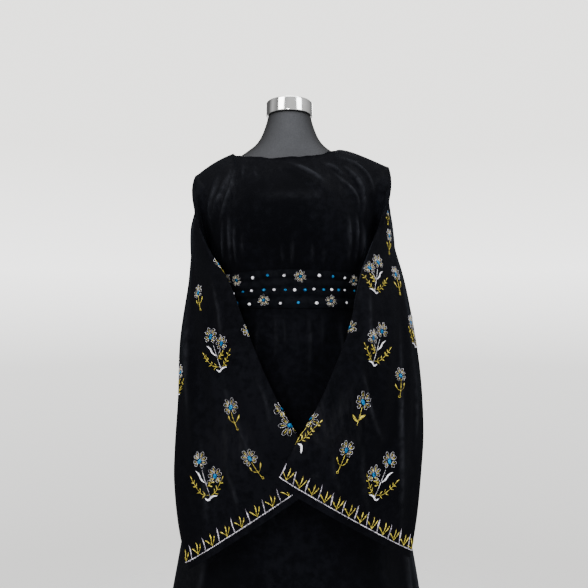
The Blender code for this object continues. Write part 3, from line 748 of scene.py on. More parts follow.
def crest_value(place, creases):
    """Nearness to the crests of creases, 0 to 1, stronger on the higher and narrower ones; the mask of
    their painted highlights.
    """
    thin = [{"line": crease["line"], "spread": CREST_SHARE * crease["spread"] + CREST_LEAST,
             "rise": min(1.0, crease["rise"] / CREST_FULL) * min(1.0, CREST_NARROW / crease["spread"])}
            for crease in creases]
    return np.clip(crease_height(place, thin, skew=0.0), 0.0, 1.0)


def panel_points(facing, columns, yoke_rows, skirt_rows):
    """Outer face of the front (-1) or back (1), from the top edge to the hem."""
    shares = np.linspace(-1.0, 1.0, columns)
    angles = 90.0 * shares if facing < 0 else 180.0 - 90.0 * shares
    top = np.array([top_edge(share, facing) for share in shares])
    lift = top - body_points(angles, top[:, 2])
    steps = (np.arange(yoke_rows) / yoke_rows)[:, None]
    inward = smooth((CROWDED_SHARE - np.abs(shares)) / (CROWDED_SHARE - SHOULDER_SHARE))
    fall = steps ** (1.0 + CROWDING * inward)
    heights = top[:, 2] + (BELT_TOP_Z - top[:, 2]) * fall
    fade = np.stack(((1.0 - fall) ** 3, (1.0 - np.sqrt(fall)) ** 2, np.zeros_like(fall)), axis=-1)
    yoke = body_points(angles, heights) + lift * fade
    inside = smooth(steps * FOLD_TOP_EASE) * smooth((1.0 - np.abs(shares)) * FOLD_SIDE_EASE)
    skirt = body_points(angles, np.asarray(skirt_rows)[:, None])
    return shares, np.concatenate((yoke, skirt)), inside


def cloth_shell(name, outer, inner, closed, finish, crests=None):
    """Thin closed shell between the outer and inner faces of one piece of cloth."""
    rows, columns = outer.shape[:2]
    grid = np.arange(rows * columns).reshape(rows, columns)
    if closed:
        grid = np.concatenate((grid, grid[:, :1]), axis=1)
    below = rows * columns
    quads = np.stack((grid[:-1, :-1], grid[1:, :-1], grid[1:, 1:], grid[:-1, 1:]), axis=-1).reshape(-1, 4)
    edges = [(grid[0, :-1], grid[0, 1:]), (grid[-1, 1:], grid[-1, :-1])]
    if not closed:
        edges += [(grid[1:, 0], grid[:-1, 0]), (grid[:-1, -1], grid[1:, -1])]
    rims = [np.stack((start, stop, stop + below, start + below), axis=-1) for start, stop in edges]
    faces = np.concatenate((quads, quads[:, ::-1] + below, *rims))
    points = np.concatenate((outer.reshape(-1, 3), inner.reshape(-1, 3)))
    mesh = bpy.data.meshes.new(name)
    mesh.from_pydata(points.tolist(), [], faces.tolist())
    lengths = np.linalg.norm(np.diff(outer, axis=0), axis=-1).mean(axis=1)
    down = np.concatenate(((0.0,), np.cumsum(lengths)))
    steps = np.linalg.norm(outer[rows // 2] - np.roll(outer[rows // 2], 1, axis=0), axis=-1)
    across = np.cumsum(steps) - steps[0]
    flat = np.stack(np.broadcast_arrays(across, -down[:, None]), axis=-1).reshape(-1, 2)
    corners = np.empty(len(mesh.loops), dtype=np.int32)
    mesh.loops.foreach_get("vertex_index", corners)
    mesh.uv_layers.new(name="cut").data.foreach_set("uv", flat[corners % below].ravel())
    # The nearness to crests rides on the cloth as the mask of the painted crest highlights.
    if crests is not None:
        value = np.concatenate((crests.ravel(), np.zeros(below))).astype(np.float32)
        mesh.attributes.new(name="crest", type="FLOAT", domain="POINT").data.foreach_set("value", value)
    mesh.materials.append(finish)
    mesh.shade_smooth()
    mesh.set_sharp_from_angle(angle=RIM_ANGLE)
    piece = bpy.data.objects.new(name, mesh)
    bpy.context.collection.objects.link(piece)
    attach(piece, "root")
    return piece


# Painted light of the velvet: the pile's paler colour seen from its side (painted sheen), painted
# highlights on the crests of creases, and paler patches painted where the pile catches the light
PAINTED_SIDE_SHEEN = (0.0010, 0.0011, 0.0018)
PAINTED_CREST_HIGHLIGHT = (0.0108, 0.0114, 0.0140)
PAINTED_LIGHT_PATCH = (0.0078, 0.0080, 0.0094)
# Patches of painted light: middle, reach, share of the paler colour
PAINTED_LIGHT_PLACES = (
    ((-0.122, -0.070, 1.352), 0.062, 0.85),
    ((0.075, -0.085, 1.372), 0.060, 0.55),
    ((0.012, -0.225, 0.935), 0.075, 0.75),
    ((0.090, -0.200, 0.930), 0.080, 0.45),
    ((-0.100, -0.170, 0.880), 0.070, 0.35),
)


def new_group(name, inputs, outputs):
    """Node group with named sockets, as (group, its entry, its end)."""
    group = bpy.data.node_groups.new(name, "ShaderNodeTree")
    for side, sockets in (("INPUT", inputs), ("OUTPUT", outputs)):
        for socket, kind in sockets.items():
            group.interface.new_socket(name=socket, socket_type="NodeSocket" + kind, in_out=side)
    return group, add_node(group, "NodeGroupInput"), add_node(group, "NodeGroupOutput")


def nap_and_light_group():
    """Pile of velvet, brushed this way and that: colour with patches of painted light, dullness, height,
    and the mask of painted highlights on crests.
    """
    group, entry, end = new_group(
        "velvet_nap_and_light", {"Deep": "Color", "Brushed": "Color", "Painted light": "Color", "Patches": "Float"},
        {"Colour": "Color", "Roughness": "Float", "Height": "Float", "Crest": "Float"})
    place = add_node(group, "TexCoord")
    hang = add_node(group, "Mapping", {"Scale": (1.0, 1.0, 0.35)})
    strokes = add_node(group, "TexNoise", {"Detail": 5.0, "Distortion": 0.6})
    crush = add_noise(group, place, 75.0, 6.0, Roughness=0.65)
    pile = add_noise(group, place, 1500.0, 2.0)
    lint = add_node(group, "TexVoronoi", {"Scale": 260.0, "Randomness": 1.0})
    specks = add_node(group, "MapRange", {"From Min": 0.030, "From Max": 0.055,
                                          "To Min": 0.10, "To Max": 0.0})
    blend = add_node(group, "Math", operation="MULTIPLY")
    sharper = add_node(group, "MapRange", {"From Min": 0.16, "From Max": 0.42},
                       interpolation_type="SMOOTHSTEP")
    fleck = add_node(group, "Math", {1: 0.5}, operation="MULTIPLY_ADD")
    dusty = add_node(group, "Math", operation="ADD", use_clamp=True)
    spread = add_node(group, "Math", {1: 0.25}, operation="SUBTRACT", use_clamp=True)
    mix = add_node(group, "Mix", data_type="RGBA")
    rough = add_node(group, "MapRange", {"To Min": 0.95, "To Max": 0.72})
    rise = add_node(group, "Math", {1: 0.6}, operation="MULTIPLY_ADD")
    wire(group, (place, "Object", hang, "Vector"), (hang, 0, strokes, "Vector"),
         (entry, "Patches", strokes, "Scale"), (place, "Object", lint, "Vector"),
         (lint, "Distance", specks, "Value"), (strokes, "Fac", blend, 0), (crush, "Fac", blend, 1),
         (blend, 0, sharper, "Value"), (pile, "Fac", fleck, 0), (sharper, 0, fleck, 2),
         (fleck, 0, dusty, 0), (specks, 0, dusty, 1), (dusty, 0, spread, 0), (spread, 0, mix, "Factor"),
         (entry, "Deep", mix, 6), (entry, "Brushed", mix, 7), (spread, 0, rough, "Value"),
         (rough, 0, end, "Roughness"), (crush, "Fac", rise, 0), (pile, "Fac", rise, 2),
         (rise, 0, end, "Height"))

    # Patches of painted light where the pile catches the light, with streaks down them like brushed pile
    slant = add_node(group, "Mapping", {"Rotation": (0.0, 0.6, 0.0), "Scale": (1.0, 1.0, 0.22)})
    streaks = add_node(group, "TexNoise", {"Scale": 95.0, "Detail": 5.0, "Roughness": 0.6})
    streaky = add_node(group, "MapRange", {"From Min": 0.40, "From Max": 0.66})
    wire(group, (place, "Object", slant, "Vector"), (slant, 0, streaks, "Vector"),
         (streaks, "Fac", streaky, "Value"))
    for middle, reach, share in PAINTED_LIGHT_PLACES:
        gap = add_node(group, "VectorMath", {1: middle}, operation="DISTANCE")
        near = add_node(group, "MapRange", {"From Max": reach, "To Min": share, "To Max": 0.0},
                        interpolation_type="SMOOTHSTEP")
        amount = add_node(group, "Math", operation="MULTIPLY")
        lit_patch = add_node(group, "Mix", data_type="RGBA")
        wire(group, (place, "Object", gap, 0), (gap, "Value", near, "Value"), (near, 0, amount, 0),
             (streaky, 0, amount, 1), (amount, 0, lit_patch, "Factor"), (mix, 2, lit_patch, 6),
             (entry, "Painted light", lit_patch, 7))
        mix = lit_patch

    # Painted highlights on the crests of creases, broken up unevenly along their length
    crest = add_node(group, "Attribute", attribute_name="crest")
    broken = add_noise(group, place, 60.0, 3.0)
    uneven = add_node(group, "MapRange", {"From Min": 0.38, "From Max": 0.62, "To Min": 0.25})
    patchy_crest_highlight = add_node(group, "Math", operation="MULTIPLY")
    wire(group, (mix, 2, end, "Colour"), (broken, "Fac", uneven, "Value"), (crest, "Fac", patchy_crest_highlight, 0),
         (uneven, 0, patchy_crest_highlight, 1), (patchy_crest_highlight, 0, end, "Crest"))
    return group


velvet_nap_and_light = nap_and_light_group()


def velvet_finish(name, patches, deep, brushed, sheen):
    """Velvet: near black face on, with painted sheen where the pile is seen from its side, painted
    highlights on crests and patches of painted light.
    """
    finish, tree, shader = new_finish(
        name, {"Sheen Weight": sheen, "Sheen Roughness": 0.30, "Sheen Tint": (0.66, 0.76, 1.0, 1.0),
               "Specular IOR Level": 0.04})
    nap_and_light = add_node(tree, "Group", node_tree=velvet_nap_and_light)
    for socket, value in (("Patches", patches), ("Deep", (*deep, 1.0)), ("Brushed", (*brushed, 1.0)),
                          ("Painted light", (*PAINTED_LIGHT_PATCH, 1.0))):
        nap_and_light.inputs[socket].default_value = value
    # Painted sheen: the colour is lifted towards a pale blue grey where the surface is seen at a slant,
    # most on the sides of creases and less at the very edges.
    turned = add_node(tree, "LayerWeight", {"Blend": 0.5})
    side_on = add_node(tree, "ValToRGB")
    set_ramp(side_on, (0.20, 0.0), (0.46, 1.0), (0.60, 0.40), (0.75, 0.05))
    lift, crested = (add_node(tree, "Mix", data_type="RGBA") for _ in range(2))
    lift.inputs[7].default_value = (*PAINTED_SIDE_SHEEN, 1.0)
    # Painted highlight on the crests of creases.
    crested.inputs[7].default_value = (*PAINTED_CREST_HIGHLIGHT, 1.0)
    wire(tree, (turned, "Facing", side_on, 0), (side_on, 0, lift, "Factor"), (nap_and_light, "Colour", lift, 6),
         (nap_and_light, "Crest", crested, "Factor"), (lift, 2, crested, 6), (crested, 2, shader, "Base Color"),
         (nap_and_light, "Roughness", shader, "Roughness"))
    add_bump(tree, shader, nap_and_light, "Height", 0.40, 0.0008)
    return finish


black_velvet = velvet_finish("black_velvet_pile", 6.0, (0.0004, 0.0005, 0.0010),
                             (0.0012, 0.0014, 0.0026), 0.019)


def crease_room(outer, shares, yoke_rows, calm_rows):
    """Where creases may stand: clear of the sides and the belt, and of the top edge."""
    near_side = smooth((1.0 - np.abs(shares)) * SIDE_EASE)
    near_top = np.ones((len(outer), 1))
    near_top[:yoke_rows, 0] = smooth(np.arange(yoke_rows) / calm_rows)
    free = np.maximum(outer[..., 2] - BELT_TOP_Z, BELT_BOTTOM_Z - outer[..., 2])
    return near_side * smooth(free / BELT_EASE), near_top


def close_panel(name, facing, shares, outer, crests):
    """Shell of the front (-1) or back (1) behind its outer face, clear of the other panel."""
    outer[:, (0, -1), 1] = facing * SEAM
    outer[0, :, 1] = facing * np.maximum(facing * outer[0, :, 1], SEAM)
    normals = grid_normals(outer, closed=False)
    normals[:, (0, -1), 1] = 0.0
    inner = outer - unit(normals) * VELVET
    for column, share in enumerate(shares):
        if abs(share) >= NECK_SHARE:
            inner[0, column] = top_edge(share, facing, VELVET)
    inner[..., 1] = facing * np.maximum(facing * inner[..., 1], SEAM)
    return cloth_shell(name, outer, inner, False, black_velvet, crests)


def add_front():
    """Front panel from its own sizes, with the drape of the bust and the folds in it."""
    shares, outer, inside = panel_points(-1, PANEL_COLUMNS, YOKE_ROWS, SKIRT_ROWS)
    yoke = outer[:YOKE_ROWS]
    yoke[..., 1] -= crease_height(yoke, FRONT_FOLDS, skew=0.0, ends=0.0) * inside
    room, near_top = crease_room(outer, shares, YOKE_ROWS, CALM_ROWS)
    crests = crest_value(outer, FRONT_CREASES) * room
    rise = crease_height(outer, FRONT_CREASES) * room * near_top
    rows = np.arange(len(outer))[:, None]
    inward = smooth((NECK_SHARE - np.abs(shares)) / NECK_FADE)
    rolled = NECK_ROLL * np.exp(-((rows - NECK_ROLL_ROW) / NECK_ROLL_ROWS) ** 2) * inward
    uneven = waves(shares, (1.0, 31.0, 0.6), (0.8, 53.0, 2.1), (0.5, 97.0, 0.0))
    bunched = np.exp(-rows / NECK_BUNCH_ROWS) * (NECK_UNEVEN * uneven * inward)
    outer = outer + grid_normals(outer, closed=False) * (rise + rolled + bunched)[..., None]
    outer[..., 2] += NECK_BUNCH_LIFT * bunched
    return close_panel("front", -1, shares, outer, crests)


front = add_front()
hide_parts("front_panel")


# Back of the dress. The same velvet, plain, cut in one from a shallow neckline to the hem;
# it hangs straighter than the front, with a few long folds from the belt down.
BACK_COLUMNS = 109
BACK_YOKE_ROWS = 44
BACK_CALM_ROWS = 9.0
BACK_SKIRT_ROWS = rows_between((BELT_TOP_Z, 1.110, 18), (1.104, HEM_Z, 122))
BACK_CREASES = creases(
    (3, 8, (-60, 1415), (-90, 1360), (-120, 1300)),
    (3.4, 8, (70, 1420), (104, 1365), (132, 1305)),
    (2.6, 6, (-120, 1390), (-138, 1330), (-146, 1260)),
    (2.6, 6, (140, 1400), (150, 1340), (152, 1270)),
    (2, 9, (-30, 1410), (4, 1395), (44, 1412)),
    (2.6, 5, (-105, 1290), (-101, 1245), (-104, 1202)),
    (2.2, 5.5, (-52, 1276), (-55, 1240), (-50, 1202)),
    (2.4, 5.5, (20, 1290), (16, 1245), (19, 1202)),
    (2.6, 5, (85, 1280), (89, 1240), (85, 1202)),
    (4.4, 11, (-80, 1116), (-94, 1000), (-118, 840)),
    (4, 11, (-20, 1116), (-26, 980), (-22, 800)),
    (4.4, 11, (50, 1116), (60, 1000), (64, 860)),
    (4.4, 11, (106, 1116), (128, 970), (156, 760)),
    (7, 14, (-150, 820), (-190, 520), (-215, 140)),
    (6, 15, (-60, 760), (-86, 460), (-96, 100)),
    (7, 15, (40, 800), (52, 500), (70, 120)),
    (6.5, 14, (160, 760), (196, 460), (220, 130)),
)


def add_back():
    """Back panel, turned round so that its columns run the way the front's do."""
    shares, outer, _ = panel_points(1, BACK_COLUMNS, BACK_YOKE_ROWS, BACK_SKIRT_ROWS)
    outer, shares = outer[:, ::-1], shares[::-1]
    room, near_top = crease_room(outer, shares, BACK_YOKE_ROWS, BACK_CALM_ROWS)
    room = room * near_top
    rise = crease_height(outer, BACK_CREASES) * room
    crests = crest_value(outer, BACK_CREASES) * room
    outer = outer + grid_normals(outer, closed=False) * rise[..., None]
    return close_panel("back", 1, shares, outer, crests)


back = add_back()
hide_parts("back_panel")


# Sleeves. Wide bell sleeves of the same velvet, set into the armholes and hanging empty;
# their cuffs are brought together in front, the viewer's right one on top. Each is a tube
# whose inner edge is rolled and whose outer edge falls from the shoulder.
SLEEVE_AROUND = 152
SLEEVE_ALONG = 150
SEAM_REST = 0.0003
ARMHOLE_TURN = math.radians(123)
ARMHOLE_BLEND = 0.075
CREASES_FROM = 0.10
LAYER_EASE = 3.0
FOLD_END_EASE = 3.0
# Edges of each sleeve: share of its length, place of the inner edge, place of the outer edge
SLEEVE_EDGES = {
    -1: table(
        "along inner outer",
        (0.00, (-0.175, -0.073, 1.241), (-0.186, 0.038, 1.346)),
        (0.06, (-0.164, -0.073, 1.240), (-0.191, 0.041, 1.305)),
        (0.12, (-0.146, -0.090, 1.221), (-0.200, 0.026, 1.258)),
        (0.18, (-0.126, -0.112, 1.193), (-0.202, 0.005, 1.220)),
        (0.26, (-0.099, -0.146, 1.139), (-0.206, -0.020, 1.168)),
        (0.37, (-0.072, -0.163, 1.076), (-0.216, -0.056, 1.063)),
        (0.50, (-0.042, -0.174, 1.006), (-0.215, -0.086, 0.954)),
        (0.63, (-0.009, -0.182, 0.941), (-0.216, -0.112, 0.864)),
        (0.77, (0.020, -0.188, 0.894), (-0.213, -0.132, 0.795)),
        (0.88, (0.035, -0.194, 0.855), (-0.202, -0.148, 0.726)),
        (1.00, (0.042, -0.200, 0.813), (-0.182, -0.164, 0.654)),
    ),
    1: table(
        "along inner outer",
        (0.00, (0.203, -0.055, 1.252), (0.181, 0.049, 1.363)),
        (0.06, (0.168, -0.069, 1.253), (0.206, 0.052, 1.324)),
        (0.12, (0.150, -0.084, 1.221), (0.214, 0.037, 1.281)),
        (0.18, (0.140, -0.120, 1.196), (0.219, 0.015, 1.241)),
        (0.26, (0.124, -0.157, 1.148), (0.231, -0.020, 1.190)),
        (0.37, (0.108, -0.181, 1.090), (0.244, -0.056, 1.098)),
        (0.50, (0.081, -0.201, 1.025), (0.254, -0.086, 0.998)),
        (0.63, (0.050, -0.216, 0.959), (0.254, -0.114, 0.902)),
        (0.77, (0.020, -0.228, 0.912), (0.245, -0.138, 0.828)),
        (0.88, (0.000, -0.235, 0.875), (0.233, -0.158, 0.754)),
        (1.00, (-0.020, -0.240, 0.834), (0.217, -0.174, 0.681)),
    ),
}

# How a sleeve swells before and behind the line between its edges, and where its front
# layer faces: outwards and upwards for each unit forwards
SLEEVE_SHAPE = table(
    "along before behind faces_out faces_up",
    (0.00, 0.067, 0.090, 0.96, 0.61),
    (0.06, 0.057, 0.064, 0.24, 1.05),
    (0.12, 0.054, 0.048, 0.24, 0.92),
    (0.18, 0.027, 0.029, 0.28, 0.44),
    (0.26, 0.019, 0.021, 0.47, 0.14),
    (0.37, 0.020, 0.008, 0.30, 0.00),
    (0.50, 0.018, 0.008, 0.20, 0.00),
    (0.63, 0.017, 0.007, 0.10, 0.00),
    (0.77, 0.016, 0.006, 0.10, 0.00),
    (0.88, 0.016, 0.006, 0.10, 0.00),
    (1.00, 0.017, 0.007, 0.10, 0.00),
)

# Long soft folds of the front layer: share of the width from the inner edge, share of the
# length where each starts and ends, height, half width
SLEEVE_FOLDS = table(
    "across start end rise spread",
    (0.22, 0.30, 0.90, 0.0045, 0.07),
    (0.50, 0.20, 1.05, 0.0055, 0.08),
    (0.78, 0.15, 1.05, 0.0050, 0.07),
)

# Creases of the front layers, then of the back layers, which lie over the dress
SLEEVE_CREASES = {
    -1: creases(
        (3.4, 6, (-122, 1007), (-107, 954), (-72, 876), (-58, 839)),
        (3.6, 8, (-196, 1150), (-196, 1020), (-190, 900)),
        (3, 7, (-150, 1190), (-130, 1120), (-122, 1050)),
        (3.4, 7, (-165, 900), (-150, 810), (-146, 730)),
        (2.8, 6, (-120, 860), (-96, 800), (-88, 760)),
        (2.4, 6, (-62, 1010), (-40, 960), (-30, 905)),
        (2.2, 6, (-150, 1330), (-185, 1296), (-196, 1240)),
        (1.4, 5, (-110, 742), (-88, 752), (-70, 748)),
    ),
    1: creases(
        (4.4, 7, (210, 1150), (207, 1020), (203, 920), (200, 800), (196, 690)),
        (3.6, 6, (132, 1030), (133, 994), (155, 913), (173, 884)),
        (3, 12, (16, 950), (40, 916), (70, 872)),
        (3, 7, (150, 1170), (146, 1100), (152, 1040)),
        (3, 7, (236, 1060), (238, 950), (230, 840)),
        (3, 8, (130, 900), (128, 830), (142, 760)),
        (2.2, 6, (75, 890), (78, 850), (90, 800)),
        (2.4, 6, (165, 1340), (196, 1312), (208, 1262)),
        (1.4, 5, (150, 736), (170, 744), (186, 738)),
        (1.2, 4.5, (30, 842), (45, 846), (58, 842)),
    ),
}
BACK_LAYER_CREASES = {
    -1: creases(
        (2.4, 8, (-170, 1170), (-160, 1060), (-150, 940)),
        (2.2, 7, (-110, 1080), (-100, 980), (-80, 880)),
        (2.4, 7, (-160, 880), (-140, 800), (-130, 720)),
    ),
    1: creases(
        (2.4, 8, (190, 1180), (192, 1060), (186, 930)),
        (2.2, 7, (130, 1070), (120, 980), (100, 890)),
        (2.4, 7, (180, 880), (168, 800), (160, 720)),
    ),
}


def sleeve_folds(share, along):
    """How far the long soft folds push the front layer out."""
    total = np.zeros(np.broadcast(share, along).shape)
    for fold in SLEEVE_FOLDS:
        span = (along - fold["start"]) / (fold["end"] - fold["start"])
        swell = np.sin(math.pi * np.clip(span, 0.0, 0.5)) * smooth((1.0 - span) * FOLD_END_EASE)
        total = total + fold["rise"] * swell * np.exp(-((share - fold["across"]) / fold["spread"]) ** 2)
    return total


def sleeve_points(side):
    """Grid of a sleeve: rows from the armhole to the cuff, columns round from its inner edge."""
    edges = SLEEVE_EDGES[side]
    places = [row["along"] for row in edges]
    along = np.linspace(0.0, 1.0, SLEEVE_ALONG)
    inner = Curve(places, [row["inner"] for row in edges])(along)
    outer = Curve(places, [row["outer"] for row in edges])(along)
    before, behind, faces_out, faces_up = (
        np.interp(along, [row["along"] for row in SLEEVE_SHAPE], [row[column] for row in SLEEVE_SHAPE])
        for column in ("before", "behind", "faces_out", "faces_up"))
    middle, across = (inner + outer) / 2, inner - outer
    forward = np.stack((side * faces_out, -np.ones_like(along), faces_up), axis=-1)
    tilt = np.sum(forward * across, axis=-1) / np.sum(across * across, axis=-1)
    face = unit(forward - across * tilt[:, None])
    turn = 2 * math.pi * np.arange(SLEEVE_AROUND) / SLEEVE_AROUND
    front = np.sin(turn) > 0
    swell = np.sin(turn) * np.where(front, before[:, None], behind[:, None])
    swell = swell + np.where(front, sleeve_folds((1.0 - np.cos(turn)) / 2, along[:, None]), 0.0)
    hang = (middle[:, None] + across[:, None] / 2 * np.cos(turn)[None, :, None]
            + face[:, None] * swell[..., None])
    seam = ARMHOLES[side].points(ARMHOLE_TURN - turn) + ARMHOLES[side].out * SEAM_REST
    joined = (1.0 - smooth(along / ARMHOLE_BLEND))[:, None, None]
    return turn, along, seam * joined + hang * (1.0 - joined)


def add_sleeve(name, side):
    """Sleeve shell, and its outer face as (points, normals) with columns from the inner edge."""
    turn, along, outer = sleeve_points(side)
    from_middle = outer - outer.mean(axis=1, keepdims=True)
    flip = -1.0 if np.sum(grid_normals(outer, True) * from_middle) < 0 else 1.0
    start = smooth(along / CREASES_FROM)[:, None]
    ahead = smooth(np.sin(turn) * LAYER_EASE) * start
    behind = smooth(-np.sin(turn) * LAYER_EASE) * start
    crests = crest_value(outer, SLEEVE_CREASES[side]) * ahead
    rise = crease_height(outer, SLEEVE_CREASES[side]) * ahead
    rise = rise + crease_height(outer, BACK_LAYER_CREASES[side]) * behind
    outer = outer + grid_normals(outer, True) * flip * rise[..., None]
    normals = grid_normals(outer, True) * flip
    inner = outer - normals * VELVET
    inner[0] = ARMHOLES[side].points(ARMHOLE_TURN - turn, VELVET) + ARMHOLES[side].out * SEAM_REST
    order = slice(None, None, int(flip))
    piece = cloth_shell(name, outer[:, order], inner[:, order], True, black_velvet, crests[:, order])
    return piece, outer, normals


left_sleeve, left_face, left_normals = add_sleeve("left_sleeve", -1)
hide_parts("sleeve_left")
right_sleeve, right_face, right_normals = add_sleeve("right_sleeve", 1)
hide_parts("sleeve_right")


# Belt. A band of the same velvet laid in soft level pleats, sewn down at the side seams and
# carried right round. It draws the dress in under the bust and carries the beadwork.
BELT_AROUND = 312
BELT_DEEP = 29
BELT_SIDE_DIP = 0.012
BELT_SIDE_LIFT = 0.002
BELT_CLEAR = 0.0010
BELT_CLOTH = 0.0008
# Pleats: share of the belt's height from its top, how far the cloth stands out there
BELT_PLEATS = table(
    "share out",
    (0.00, 0.0012), (0.09, 0.0032), (0.17, 0.0036), (0.24, 0.0014), (0.31, 0.0038), (0.42, 0.0046),
    (0.49, 0.0026), (0.56, 0.0042), (0.66, 0.0036), (0.73, 0.0012), (0.81, 0.0034), (0.91, 0.0036),
    (1.00, 0.0012),
)


def belt_face(shares, out):
    """Rings of the belt at shares of its height, moved out from the body."""
    angle = 360.0 * np.arange(BELT_AROUND) / BELT_AROUND
    side = np.sin(np.radians(angle)) ** 2
    top = BELT_TOP_Z - BELT_SIDE_DIP * side
    bottom = BELT_BOTTOM_Z - BELT_SIDE_LIFT * side
    height = top + (bottom - top) * shares[:, None]
    angle = np.broadcast_to(angle, height.shape)
    beside = body_points(angle + 1.0, height) - body_points(angle - 1.0, height)
    away = unit(np.stack((beside[..., 1], -beside[..., 0], np.zeros_like(height)), axis=-1))
    return body_points(angle, height) + away * out[..., None]


def add_belt():
    """Belt shell, and its outer face as (points, normals)."""
    shares = np.linspace(0.0, 1.0, BELT_DEEP)
    turn = 2 * math.pi * np.arange(BELT_AROUND) / BELT_AROUND
    wander = waves(turn, (0.030, 3.0, 0.4), (0.018, 7.0, 2.0), (0.010, 13.0, 0.0))
    shifted = np.clip(shares[:, None] + wander * np.sin(math.pi * shares)[:, None], 0.0, 1.0)
    pleats = Curve([row["share"] for row in BELT_PLEATS], [row["out"] for row in BELT_PLEATS])
    outer = belt_face(shares, BELT_CLEAR + BELT_CLOTH + pleats(shifted))
    inner = belt_face(shares, np.full(shifted.shape, BELT_CLEAR))
    return cloth_shell("pleated_belt", outer, inner, True, belt_velvet), outer, grid_normals(outer, True)


belt_velvet = velvet_finish("belt_velvet_pile", 9.0, (0.0004, 0.0006, 0.0011),
                            (0.0014, 0.0017, 0.0029), 0.021)
belt, belt_outer, belt_normals = add_belt()
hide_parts("belt")


# Embroidery of the left sleeve. Sprays and single flowers are worked over the velvet in
# twisted thread: petals looped in silver round a blue satin eye, stems in silver or gold,
# leaves in gold, ribbons in white. Motifs are drawn in millimetres, then laid on the cloth.
THREAD_SECTION = ((-1.0, -0.30), (-0.66, 0.72), (0.0, 1.0), (0.66, 0.72), (1.0, -0.30))
MARCH_STEPS = 12
THREADS = ("silver", "gold", "blue", "white", "lilac")
PETAL_POINTS = 14
PETAL_START = 0.36
PETAL_TURN = 40.0
LEAF_HEIGHT = 0.60
# Flowers, a fan that is open at its stem and a round one for the belt: number of petals,
# first one's turn, how much longer the upper ones are, petals' half width, gold ray's half
# width in millimetres, eye's half length, and its half width as a share of that
FLOWERS = {row["kind"]: row for row in table(
    "kind petals first taller broad ray eye plump",
    ("fan", 8, -140.0, 0.20, 0.240, 0.50, 0.36, 0.68),
    ("round", 9, 0.0, 0.0, 0.190, 0.55, 0.25, 0.90),
)}


class Cloth:
    """Outer face of a tube of cloth as a grid, on which needlework is laid out."""

    def __init__(self, points, normals):
        down = np.gradient(points, axis=0)
        across = (np.roll(points, -1, axis=1) - np.roll(points, 1, axis=1)) / 2
        self.grid = np.concatenate((points, normals, down, across), axis=-1)
        self.rows, self.columns = points.shape[:2]

    def at(self, row, column):
        """Place, normal, step down and step across at places between the grid's points."""
        row = np.clip(row, 0.0, self.rows - 1.001)
        top, left = np.floor(row).astype(int), np.floor(column).astype(int)
        fall, run = (row - top)[:, None], (column - left)[:, None]
        left, right = left % self.columns, (left + 1) % self.columns
        upper = self.grid[top, left] * (1 - run) + self.grid[top, right] * run
        lower = self.grid[top + 1, left] * (1 - run) + self.grid[top + 1, right] * run
        return upper * (1 - fall) + lower * fall

    def lay(self, turn, along, offsets, lean):
        """Carry flat offsets in metres from one place along the cloth; up is upwards."""
        row = np.full(len(offsets), along * (self.rows - 1))
        column = np.full(len(offsets), turn / 360.0 * self.columns)
        normal = unit(self.at(row, column)[:, 3:6])
        up = unit(np.array((0.0, 0.0, 1.0)) - normal * normal[:, 2:])
        right = np.cross(up, normal)
        cosine, sine = math.cos(math.radians(lean)), math.sin(math.radians(lean))
        way = right * (offsets[:, :1] * cosine + offsets[:, 1:] * sine)
        way = way + up * (offsets[:, 1:] * cosine - offsets[:, :1] * sine)
        length = np.linalg.norm(way, axis=1, keepdims=True)
        for _ in range(MARCH_STEPS):
            here = self.at(row, column)
            normal, down, across = unit(here[:, 3:6]), here[:, 6:9], here[:, 9:12]
            way = unit(way - normal * np.sum(way * normal, axis=1, keepdims=True)) * length
            downs, mixed, acrosses = (np.sum(one * other, axis=1)
                                      for one, other in ((down, down), (down, across), (across, across)))
            to_down, to_across = np.sum(way * down, axis=1), np.sum(way * across, axis=1)
            spread = np.maximum(downs * acrosses - mixed ** 2, 1e-16) * MARCH_STEPS
            row = row + (to_down * acrosses - to_across * mixed) / spread
            column = column + (to_across * downs - to_down * mixed) / spread
        here = self.at(row, column)
        return here[:, :3], unit(here[:, 3:6])


